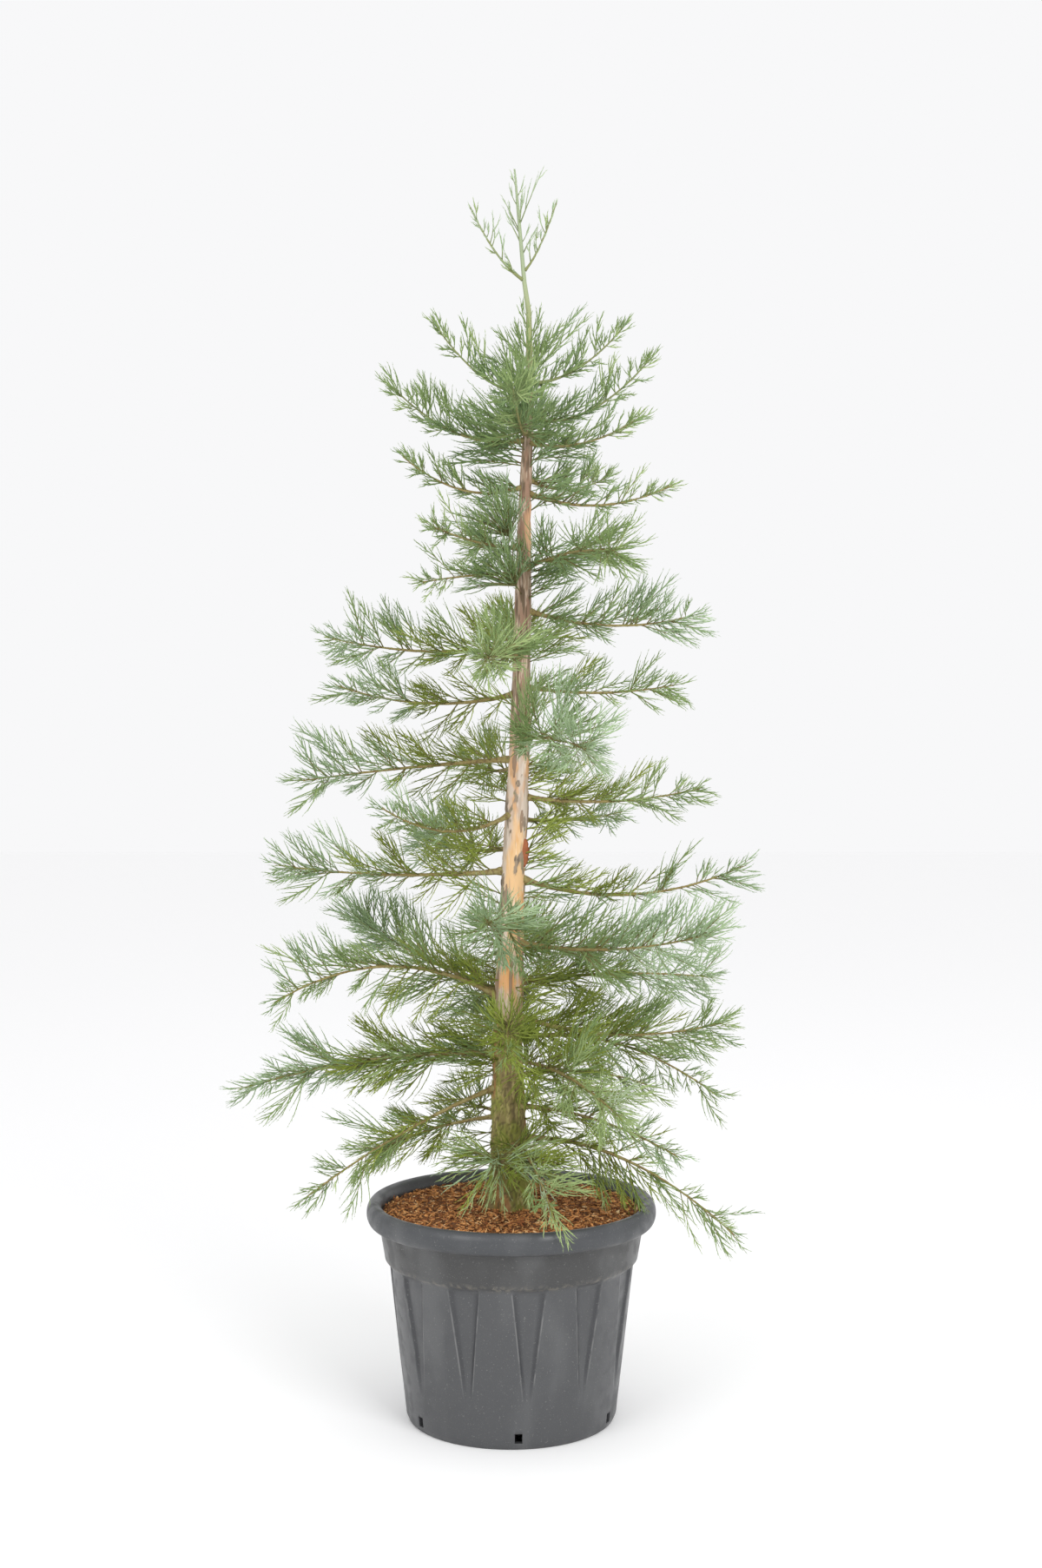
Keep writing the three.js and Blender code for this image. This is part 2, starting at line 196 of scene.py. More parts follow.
# %% Two node groups that all the finishes share
def new_group(name, inputs, outputs):
    """A shader node group with named number inputs and number outputs, and its two end nodes."""
    group = bpy.data.node_groups.new(name, "ShaderNodeTree")
    for label, value in inputs:
        socket = group.interface.new_socket(label, in_out="INPUT", socket_type="NodeSocketFloat")
        socket.default_value = value
    for label in outputs:
        group.interface.new_socket(label, in_out="OUTPUT", socket_type="NodeSocketFloat")
    return group, group.nodes.new("NodeGroupInput"), group.nodes.new("NodeGroupOutput")


def wire(tree, *pairs):
    """Links sockets: each pair is an output and the input it feeds."""
    for out, into in pairs:
        tree.links.new(out, into)


def stretched_place(group, way_in):
    """Object coordinates, drawn out along Z by the group's Stretch input."""
    place, split, shrink, joined = [
        group.nodes.new(f"ShaderNode{kind}") for kind in ("TexCoord", "SeparateXYZ", "Math", "CombineXYZ")]
    shrink.operation = "DIVIDE"
    wire(group, (place.outputs["Object"], split.inputs[0]),
         (split.outputs["X"], joined.inputs["X"]), (split.outputs["Y"], joined.inputs["Y"]),
         (split.outputs["Z"], shrink.inputs[0]), (way_in.outputs["Stretch"], shrink.inputs[1]),
         (shrink.outputs[0], joined.inputs["Z"]))
    return joined.outputs[0]


def blotches_group():
    """Soft patches: 0 outside them, 1 inside, with edges between Low and High of the noise."""
    group, way_in, way_out = new_group(
        "Blotches", [("Scale", 20.0), ("Stretch", 1.0), ("Low", 0.45), ("High", 0.6)], ["Mask"])
    patches = group.nodes.new("ShaderNodeTexNoise")
    patches.inputs["Detail"].default_value = 3.0
    edges = group.nodes.new("ShaderNodeMapRange")
    edges.interpolation_type = "SMOOTHSTEP"
    wire(group, (stretched_place(group, way_in), patches.inputs["Vector"]),
         (way_in.outputs["Scale"], patches.inputs["Scale"]),
         (patches.outputs["Fac"], edges.inputs["Value"]),
         (way_in.outputs["Low"], edges.inputs["From Min"]),
         (way_in.outputs["High"], edges.inputs["From Max"]),
         (edges.outputs["Result"], way_out.inputs["Mask"]))
    return group


def grain_group():
    """A fine height made of noise and of narrow cracks, for bump."""
    group, way_in, way_out = new_group(
        "Grain", [("Scale", 200.0), ("Stretch", 1.0), ("Cracks", 0.5)], ["Height"])
    fine = group.nodes.new("ShaderNodeTexNoise")
    fine.inputs["Detail"].default_value = 4.0
    cells = group.nodes.new("ShaderNodeTexVoronoi")
    cells.feature = "DISTANCE_TO_EDGE"
    mix = group.nodes.new("ShaderNodeMix")
    place = stretched_place(group, way_in)
    for texture in (fine, cells):
        wire(group, (place, texture.inputs["Vector"]), (way_in.outputs["Scale"], texture.inputs["Scale"]))
    wire(group, (way_in.outputs["Cracks"], mix.inputs["Factor"]), (fine.outputs["Fac"], mix.inputs["A"]),
         (cells.outputs["Distance"], mix.inputs["B"]), (mix.outputs["Result"], way_out.inputs["Height"]))
    return group


BLOTCHES = blotches_group()
GRAIN = grain_group()
print("node groups:", [group.name for group in bpy.data.node_groups])


# %% How a finish is put together from them
class Finish:
    """A material whose colour is built up in layers, each laid over the last by a mask.

    Colours are given as 0 to 255 on a screen.
    """

    def __init__(self, name, colour, roughness):
        self.material = bpy.data.materials.new(name)
        self.material.use_nodes = True
        self.tree = self.material.node_tree
        self.shader = self.tree.nodes["Principled BSDF"]
        self.shader.inputs["Roughness"].default_value = roughness
        self.colour = paint(*colour)
        self.shader.inputs["Base Color"].default_value = self.colour

    def placed(self, kind, group=None, **values):
        """A new node of a kind, or one of the shared groups, with its inputs set."""
        node = self.tree.nodes.new(f"ShaderNode{kind}")
        if group:
            node.node_tree = group
        for label, value in values.items():
            node.inputs[label.replace("_", " ")].default_value = value
        return node

    def blotches(self, scale, stretch, low, high):
        """A mask of soft patches."""
        node = self.placed("Group", BLOTCHES, Scale=scale, Stretch=stretch, Low=low, High=high)
        return node.outputs["Mask"]

    def height_mask(self, low, high):
        """A mask that rises from 0 at one height of the plant to 1 at another."""
        place, split = self.placed("TexCoord"), self.placed("SeparateXYZ")
        rise = self.placed("MapRange", From_Min=low, From_Max=high)
        rise.interpolation_type = "SMOOTHSTEP"
        wire(self.tree, (place.outputs["Object"], split.inputs[0]),
             (split.outputs["Z"], rise.inputs["Value"]))
        return rise.outputs["Result"]

    def stored(self, label):
        """A mask that the mesh itself carries at its points."""
        node = self.placed("Attribute")
        node.attribute_name = label
        return node.outputs["Fac"]

    def product(self, first, second):
        """A mask times another mask, or times a number."""
        node = self.placed("Math")
        node.operation = "MULTIPLY"
        wire(self.tree, (first, node.inputs[0]))
        if isinstance(second, float):
            node.inputs[1].default_value = second
        else:
            wire(self.tree, (second, node.inputs[1]))
        return node.outputs[0]

    def layer(self, colour, mask, strength=1.0):
        """Lays a colour over what is there, by a mask."""
        mix = self.placed("Mix")
        mix.data_type = "RGBA"
        if strength < 1:
            mask = self.product(mask, strength)
        under, over = mix.inputs[6], mix.inputs[7]
        if isinstance(self.colour, tuple):
            under.default_value = self.colour
        else:
            wire(self.tree, (self.colour, under))
        over.default_value = paint(*colour)
        self.colour = mix.outputs[2]
        wire(self.tree, (mask, mix.inputs["Factor"]), (self.colour, self.shader.inputs["Base Color"]))

    def patches(self, rows, inside=None):
        """A layer of soft patches for each row: colour, scale, stretch, low and high edge, strength.

        They keep to the places where another mask is 1, if one is given.
        """
        for colour, scale, stretch, low, high, strength in rows:
            mask = self.blotches(scale, stretch, low, high)
            self.layer(colour, self.product(inside, mask) if inside else mask, strength)

    def bump(self, scale, stretch, cracks, distance, strength):
        """A fine relief."""
        grain = self.placed("Group", GRAIN, Scale=scale, Stretch=stretch, Cracks=cracks)
        bump = self.placed("Bump", Strength=strength, Distance=distance)
        wire(self.tree, (grain.outputs["Height"], bump.inputs["Height"]),
             (bump.outputs["Normal"], self.shader.inputs["Normal"]))

    def gloss(self, scale, low_edge, high_edge, low, high):
        """Roughness between two values, in soft patches."""
        spread = self.placed("MapRange", To_Min=low, To_Max=high)
        wire(self.tree, (self.blotches(scale, 1, low_edge, high_edge), spread.inputs["Value"]),
             (spread.outputs["Result"], self.shader.inputs["Roughness"]))


print("a finish has:", ", ".join(name for name in vars(Finish) if not name.startswith("_")))

# %% [markdown]
# ## Pot
#
# The pot is one thin moulding of charcoal plastic: a tapered body with twelve shallow channels
# that run out towards the foot, a step under a plain collar, a rolled rim and six drain holes.
# A subdivided cylinder would do for the body, but not for channels that narrow as they go down.
# So the wall is turned from one outline whose columns follow the sides of the channels, and each
# point is pressed in by how deep the channel is there. That keeps every edge crisp with few
# faces. The drain holes are cut afterwards, with a Boolean modifier.

# %% Outline of the pot and the depth of its channels
FLUTES = 12
FLUTE_DEPTH = 0.0062
FLUTE_MIDDLE = math.radians(8.2)
FLUTE_FOOT, FLUTE_FADE = 0.085, 0.012
FLUTE_NARROW, FLUTE_WIDENS = 1.9, 5.9  # degrees: half of a channel's width at its foot, and what it gains
BODY_TOP, BODY_FOOT = 0.322, 0.012
FOOT_RADIUS, BASE_RADIUS, BODY_RADIUS = 0.211, 0.218, 0.252
FOOT_HOLLOW = 0.0015
COLLAR_RADIUS, COLLAR_TOP_RADIUS, COLLAR_TOP = 0.262, 0.274, 0.402
RIM_RADIUS, RIM_ROLL, RIM_SQUASH = 0.300, 0.023, 0.55
WALL = 0.0045
SOFT = 0.002  # how far an edge of the moulding is rounded
POT_FLOOR = 0.008
PITCH = 2 * math.pi / FLUTES
SLOPE, CORNER = math.radians(1.5), math.radians(0.45)
PANEL_STEPS = 5


def even_steps(low, high, steps):
    """Even steps along a straight part of an outline, without its last point."""
    share = np.arange(steps)[:, None] / steps
    return np.array(low) * (1 - share) + np.array(high) * share


def pot_outline():
    """Radius and height: from the middle of the underside, up the outside, over the rim and down."""
    turn = np.radians(np.linspace(-84, 90, 16))[:, None]
    roll = np.hstack([
        RIM_RADIUS - RIM_ROLL * RIM_SQUASH * (1 - np.cos(turn)),
        pot_high.z - RIM_ROLL + RIM_ROLL * np.sin(turn)])
    inner_collar = COLLAR_RADIUS - WALL
    body_end = (BODY_RADIUS, BODY_TOP - FLUTE_FADE)
    return np.vstack([
        [[0.0, FOOT_HOLLOW], [0.1, FOOT_HOLLOW], [FOOT_RADIUS - 0.004, FOOT_HOLLOW]],
        [[FOOT_RADIUS - SOFT, 0.0], [FOOT_RADIUS, 0.0], [FOOT_RADIUS + 0.0025, SOFT]],
        even_steps((BASE_RADIUS, BODY_FOOT), body_end, 30),
        even_steps(body_end, (BODY_RADIUS + 0.001, BODY_TOP), 6),
        [[BODY_RADIUS + SOFT, BODY_TOP + SOFT], [COLLAR_RADIUS - SOFT, BODY_TOP + 0.008]],
        even_steps((COLLAR_RADIUS, BODY_TOP + 0.011), (COLLAR_TOP_RADIUS, COLLAR_TOP), 8),
        [[COLLAR_TOP_RADIUS + SOFT, COLLAR_TOP + 0.003]],
        roll,
        [[RIM_RADIUS - 0.022, pot_high.z - SOFT], [COLLAR_TOP_RADIUS - SOFT, pot_high.z - 0.006]],
        even_steps((COLLAR_TOP_RADIUS - WALL, COLLAR_TOP + 0.02), (inner_collar, BODY_TOP + 0.014), 6),
        [[inner_collar, BODY_TOP + 0.012], [BODY_RADIUS - FLUTE_DEPTH - WALL, BODY_TOP - 0.006]],
        [[FOOT_RADIUS - WALL - SOFT, POT_FLOOR + 0.004], [FOOT_RADIUS - WALL - 0.006, POT_FLOOR]],
        [[0.0, POT_FLOOR]],
    ])


def up_channel(height):
    """0 at the foot of a channel, 1 at its top."""
    return np.clip((height - FLUTE_FOOT) / (BODY_TOP - FLUTE_FOOT), 0, 1)


def half_width(height):
    """Half of the angle that a channel takes up at a height."""
    return np.radians(FLUTE_NARROW + FLUTE_WIDENS * up_channel(height))


def column_angles(height):
    """Angles of all the columns at each height: close together on the two slopes of a channel."""
    outer = half_width(height)[None]
    inner = outer - SLOPE
    panel = PITCH / 2 - outer - CORNER
    thirds = (1 / 3, 2 / 3, 1)
    offs = [inner * share for share in thirds] + [inner + SLOPE * share for share in thirds]
    offs += [outer + CORNER + panel * step / PANEL_STEPS for step in range(PANEL_STEPS + 1)]
    offs = np.concatenate(offs)
    sector = np.concatenate([-offs[-2::-1], np.zeros_like(outer), offs])
    middles = FLUTE_MIDDLE + PITCH * np.arange(FLUTES)[:, None, None]
    return (middles + sector).reshape(-1, len(height))


def off_channel(angle):
    """Angle from the middle of the nearest channel."""
    return np.abs((angle - FLUTE_MIDDLE + PITCH / 2) % PITCH - PITCH / 2)


def channel(angle, height):
    """How deep the channels are pressed in there, from 0 to 1."""
    side = np.clip((half_width(height) - off_channel(angle)) / SLOPE, 0, 1)
    top = np.clip((BODY_TOP + 0.004 - height) / FLUTE_FADE, 0, 1)
    return side * np.sqrt(top) * np.minimum(1, up_channel(height) * 3) ** 0.8


print(f"pot: an outline of {len(pot_outline())} points, {FLUTES} channels")

# %% Turn the pot
def turned_pot():
    """Points and triangles of the whole moulding, closed at the two ends of its outline."""
    outline = pot_outline()
    angle = column_angles(outline[1:-1, 1])
    columns, rings = angle.shape
    radius, height = np.broadcast_to(outline[None, 1:-1], (columns, rings, 2)).transpose(2, 0, 1)
    outside = np.arange(rings) < np.argmax(outline[:, 0]) - 1
    radius = radius - FLUTE_DEPTH * channel(angle, height) * outside * (height > BODY_FOOT - 0.001)
    points = np.stack([radius * np.sin(angle), -radius * np.cos(angle), height], -1).reshape(-1, 3)
    column, ring = np.meshgrid(np.arange(columns), np.arange(rings - 1), indexing="ij")
    here, beside = column * rings + ring, (column + 1) % columns * rings + ring
    walls = halved(np.stack([here, beside, beside + 1, here + 1], -1).reshape(-1, 4))
    middle = np.full(columns, len(points))
    points = np.vstack([points, [[0, 0, outline[0, 1]], [0, 0, outline[-1, 1]]]])
    first = np.arange(columns) * rings
    following = (np.arange(columns) + 1) % columns * rings
    under = np.stack([middle, following, first], -1)
    inside = np.stack([middle + 1, first + rings - 1, following + rings - 1], -1)
    return points, np.vstack([walls, under, inside])


def pot_finish():
    """Charcoal plastic with dust and faint scuffs, painted shade on the channels' slopes and a patchy
    painted highlight on their edges.
    """
    finish = Finish("charcoal plastic", (70, 71, 73), 0.42)
    # painted shade: the collar and the rim are painted darker than the body, the collar under the rim the
    # darkest
    finish.layer((58, 58, 58), finish.height_mask(BODY_TOP, BODY_TOP + 0.01))
    finish.layer((62, 64, 67), finish.height_mask(COLLAR_TOP - 0.004, COLLAR_TOP + 0.012))
    finish.patches([((100, 101, 102), 9, 2.5, 0.5, 0.72, 0.35)])
    # painted shade on the slopes of the channels
    finish.layer((52, 53, 56), finish.stored("hollow"), 0.75)
    finish.patches([((112, 112, 110), 240, 1, 0.64, 0.72, 0.6), ((134, 131, 125), 620, 1, 0.66, 0.72, 0.55)])
    # painted highlight along the edges of the channels, broken into patches
    finish.patches([((128, 128, 127), 26, 1, 0.36, 0.6, 0.6)], finish.stored("worn"))
    finish.patches([((122, 116, 104), 90, 1, 0.44, 0.66, 0.55)], finish.stored("step"))
    finish.gloss(30, 0.4, 0.65, 0.34, 0.52)
    finish.bump(420, 1, 0.15, 0.0004, 0.35)
    return finish.material


pot_points, pot_faces = turned_pot()
pot = make_mesh("nursery_pot", pot_points, pot_faces, [pot_finish()])
print(f"pot outline turned into {len(pot_faces)} triangles")

# %% Cut the drain holes and mark the painted shade and highlight of the channels and the dust on the step
HOLES, FIRST_HOLE = 6, 4  # how many, and the angle in degrees that they start from
HOLE_WIDTH, HOLE_HEIGHT, HOLE_FOOT = 0.015, 0.020, 0.014


def drain_cutter():
    """Six blocks round the foot, as one object."""
    corners = np.array([[x, y, z] for x in (-1, 1) for y in (-1, 1) for z in (-1, 1)])
    block = corners * [0.02, HOLE_WIDTH / 2, HOLE_HEIGHT / 2] + [BASE_RADIUS - 0.002, 0, 0]
    quads = np.array([[0, 1, 3, 2], [4, 6, 7, 5], [0, 4, 5, 1], [2, 3, 7, 6], [0, 2, 6, 4], [1, 5, 7, 3]])
    points, faces = [], []
    for hole in range(HOLES):
        turn = math.radians(FIRST_HOLE + 360 / HOLES * (hole + 0.5))
        cos, sin = math.cos(turn), math.sin(turn)
        turned = block @ np.array([[cos, sin, 0], [-sin, cos, 0], [0, 0, 1]])
        faces.append(quads + 8 * hole)
        points.append(turned + [0, 0, HOLE_FOOT + HOLE_HEIGHT / 2])
    return make_mesh("drain cutter", np.vstack(points), np.vstack(faces), [], smooth=False)


def apply_modifiers(piece):
    """Puts what the modifiers make into the mesh itself."""
    evaluated = piece.evaluated_get(bpy.context.evaluated_depsgraph_get())
    mesh = bpy.data.meshes.new_from_object(evaluated)
    piece.modifiers.clear()
    piece.data = mesh


cutter = drain_cutter()
cut = pot.modifiers.new("drain holes", "BOOLEAN")
cut.object = cutter
cut.operation = "DIFFERENCE"
cut.solver = "EXACT"
apply_modifiers(pot)
bpy.data.objects.remove(cutter)


def store(piece, label, values):
    """Keeps a number at each point of a mesh, for its finish."""
    attribute = piece.data.attributes.new(label, "FLOAT", "POINT")
    attribute.data.foreach_set("value", np.asarray(values, np.float32))


places = np.zeros(len(pot.data.vertices) * 3, np.float32)
pot.data.vertices.foreach_get("co", places)
pot_x, pot_y, pot_z = places.reshape(-1, 3).T
# how wide the painted highlight on a channel's edge is, and how far inside it the painted shade begins
HIGHLIGHT_BAND, SHADE_INSET = 0.002, 0.004  # angles off the edge of a channel, in radians
beyond_edge = off_channel(np.arctan2(pot_x, -pot_y)) - half_width(pot_z)
on_wall = np.clip((BODY_TOP - 0.001 - pot_z) / 0.004, 0, 1)
on_wall *= np.clip((pot_z - FLUTE_FOOT - FLUTE_FADE) / 0.05, 0, 1)
on_wall *= np.hypot(pot_x, pot_y) > BASE_RADIUS + (BODY_RADIUS - BASE_RADIUS) * pot_z / BODY_TOP - 0.009
# painted highlight: a thin band on each edge of a channel
store(pot, "worn", on_wall * (np.abs(beyond_edge) < HIGHLIGHT_BAND))
# painted shade: the slopes of the channels, inside the band of painted highlight
store(pot, "hollow", on_wall * ((beyond_edge < -SHADE_INSET) & (beyond_edge > -SLOPE - HIGHLIGHT_BAND)))
store(pot, "step", np.clip(1 - np.abs(pot_z - (BODY_TOP + 0.008)) / 0.007, 0, 1))
total_triangles = settle(pot, "pot", "pot")

# %% [markdown]
# ## Mulch
#
# The soil is hidden under red-brown bark mulch: thousands of thin chips and shreds that lie
# almost level on each other. Bump alone would stay flat at the rim, where the layer is seen
# from the side, and particles don't survive the export. So a crowned bed is made first, and then
# every chip is a small closed slab of its own, in one joined mesh that has six browns.

# %% Bed of mulch
MULCH_TOP, MULCH_EDGE, MULCH_FLAT = 0.430, 0.424, 0.066
MULCH_SWELL = 0.003
MULCH_RADIUS = COLLAR_TOP_RADIUS - WALL - 0.0012
BED_RINGS, BED_COLUMNS = 34, 96
BED_UNDERSIDE = 0.40


def bed_height(x, y):
    """Height of the mulch there, crowned a little between the trunk and the rim."""
    radius = np.hypot(x, y)
    share = np.clip((radius - MULCH_FLAT) / (MULCH_RADIUS - MULCH_FLAT), 0, 1)
    crown = MULCH_SWELL * np.sin(np.pi * np.minimum(share * 1.3, 1))
    waves = MULCH_SWELL * np.sin(x * 90 + 2) * np.cos(y * 110) * (radius > MULCH_FLAT)
    return MULCH_TOP + crown + waves + (MULCH_EDGE - MULCH_TOP) * share ** 2


def mulch_bed():
    """A closed disc with the bed's height on top and a flat underside."""
    radius = MULCH_RADIUS * np.linspace(0, 1, BED_RINGS)[1:]
    angle = 2 * np.pi * np.arange(BED_COLUMNS) / BED_COLUMNS
    x, y = np.outer(radius, np.cos(angle)), np.outer(radius, np.sin(angle))
    top = np.stack([x, y, bed_height(x, y)], -1).reshape(-1, 3)
    under = np.stack([x[-1], y[-1], np.full(BED_COLUMNS, BED_UNDERSIDE)], -1)
    points = np.vstack([top, under, [[0, 0, bed_height(0, 0)], [0, 0, BED_UNDERSIDE]]])
    here, beside = ring_corners(len(radius), BED_COLUMNS)
    out, out_beside = here + BED_COLUMNS, beside + BED_COLUMNS
    middle = np.full(BED_COLUMNS, len(points) - 2)
    faces = [
        np.stack([here, out, out_beside], -1), np.stack([here, out_beside, beside], -1),
        np.stack([middle, here[0], beside[0]], -1), np.stack([middle + 1, out_beside[-1], out[-1]], -1)]
    return points, np.vstack([face.reshape(-1, 3) for face in faces])


bed_points, bed_faces = mulch_bed()
print(f"mulch bed: {MULCH_RADIUS:.3f} m radius, {len(bed_faces)} triangles")

# %% Chips of bark
CHIPS = 7200
CHIP_CORNERS = np.array([  # a shred with a blunt and a pointed end, one unit long, wide and thick
    [-0.5, -0.36, 0], [0.2, -0.5, 0], [0.5, 0.05, 0], [-0.2, 0.5, 0]])
CORNERS = len(CHIP_CORNERS)
CHIP_FACES = np.array(
    [[0, i + 1, i] for i in range(1, CORNERS - 1)]
    + [[CORNERS, CORNERS + i, CORNERS + i + 1] for i in range(1, CORNERS - 1)]
    + [[i, (i + 1) % CORNERS, CORNERS + (i + 1) % CORNERS] for i in range(CORNERS)]
    + [[i, CORNERS + (i + 1) % CORNERS, CORNERS + i] for i in range(CORNERS)])
CHIP_LENGTH, LONG_CHIP_MORE, LONG_CHIPS = (0.004, 0.015), 0.007, 0.07
CHIP_SLIM, CHIP_WIDEST, CHIP_THICKNESS, CHIP_LIFT = (0.13, 0.42), 0.006, (0.0006, 0.0018), 0.0046
CHIP_TIP, CHIP_ROLL = 0.30, 0.4
MULCH_BROWNS = {  # colour: share of the chips that have it
    (118, 76, 40): 0.20, (188, 128, 72): 0.28, (212, 148, 86): 0.22,
    (228, 176, 116): 0.09, (144, 86, 44): 0.18, (240, 206, 156): 0.03}


def chips():
    """Shreds of 4 to 22 mm, scattered evenly, tipped a little and turned every way but at the rim."""
    random = np.random.default_rng(7)
    radius = np.sqrt(random.uniform(0.036 ** 2, (MULCH_RADIUS - 0.004) ** 2, CHIPS))
    angle = random.uniform(0, 2 * np.pi, CHIPS)
    x, y = radius * np.cos(angle), radius * np.sin(angle)
    length = random.uniform(*CHIP_LENGTH, CHIPS) + LONG_CHIP_MORE * (random.random(CHIPS) > 1 - LONG_CHIPS)
    width = np.minimum(CHIP_WIDEST, length * random.uniform(*CHIP_SLIM, CHIPS))
    thick = random.uniform(*CHIP_THICKNESS, CHIPS)
    turn = random.uniform(0, 2 * np.pi, CHIPS)
    tip, roll = random.normal(0, CHIP_TIP, CHIPS), random.normal(0, CHIP_ROLL, CHIPS)
    turn = np.where(radius > MULCH_RADIUS - 0.014, angle + np.pi / 2 + turn * 0.1, turn)
    lift = random.uniform(0.0, CHIP_LIFT, CHIPS)
    scale = np.stack([length, width, thick], -1)
    slab = np.vstack([CHIP_CORNERS, CHIP_CORNERS * [0.86, 0.8, 0] + [0, 0, 1]])
    slab = slab[None] * scale[:, None] * random.uniform(0.8, 1.2, (CHIPS, 2 * CORNERS, 1))
    along, across, up = np.moveaxis(slab, -1, 0)
    cos, sin = np.cos(turn)[:, None], np.sin(turn)[:, None]
    up = up + along * np.sin(tip)[:, None] + across * np.sin(roll)[:, None]
    points = np.stack([along * cos - across * sin, along * sin + across * cos, up], -1)
    points += np.stack([x, y, bed_height(x, y) + lift], -1)[:, None]
    faces = CHIP_FACES[None] + 2 * CORNERS * np.arange(CHIPS)[:, None, None]
    brown = random.choice(len(MULCH_BROWNS), CHIPS, p=list(MULCH_BROWNS.values()))
    return points.reshape(-1, 3), faces.reshape(-1, 3), np.repeat(brown, len(CHIP_FACES))


def mulch_finish(number, colour):
    """One of the browns of the chips, rough, with dirt in patches."""
    finish = Finish(f"bark chip {number + 1}", colour, 0.85)
    dark = [value * 0.62 for value in colour]
    finish.patches([(dark, 160, 1, 0.5, 0.66, 0.6)])
    finish.bump(700, 1, 0.3, 0.0006, 0.7)
    return finish.material


browns = [mulch_finish(number, colour) for number, colour in enumerate(MULCH_BROWNS)]
chip_points, chip_faces, chip_browns = chips()
mulch = make_mesh(
    "bark_mulch", np.vstack([bed_points, chip_points]),
    np.vstack([bed_faces, chip_faces + len(bed_points)]), browns,
    np.concatenate([np.zeros(len(bed_faces)), chip_browns]), smooth=False)
total_triangles += settle(mulch, "mulch", "mulch")

# %% [markdown]
# ## The plant's plan
#
# The trunk is a table of stations: height, lean to the right, lean to the back and radius. Each
# bough is one row: where it leaves the trunk, which way it goes, how far, how much its tip rises
# and how it bows. These are the same rows and the same rule that the solids were grown from, so
# everything made here stays in their reach. Three values for each bough are new: how full its
# finer sprays are, and the tints of the inner and of the outer ones, because needles are olive in
# the shade and blue-green or silvery at the tips. Lengths are in millimetres, as a nursery notes them.

# %% Trunk and boughs in numbers
MM = 0.001
TRUNK_STATIONS = np.array([
    [430, -5, 0, 47], [490, -5, 0, 40], [560, -6, 1, 37.5], [780, -8, 3, 31], [1135, 4, 6, 23.5],
    [1400, 18, 8, 21], [1670, 24, 8, 16.5], [1860, 27, 6, 13], [2000, 33, 4, 10.5],
    [2140, 38, 2, 7.5], [2280, 36, 0, 5.5], [2340, 27, 0, 4.6], [2500, 13, 0, 3.2], [2572, 7, 0, 1.4],
]) * MM
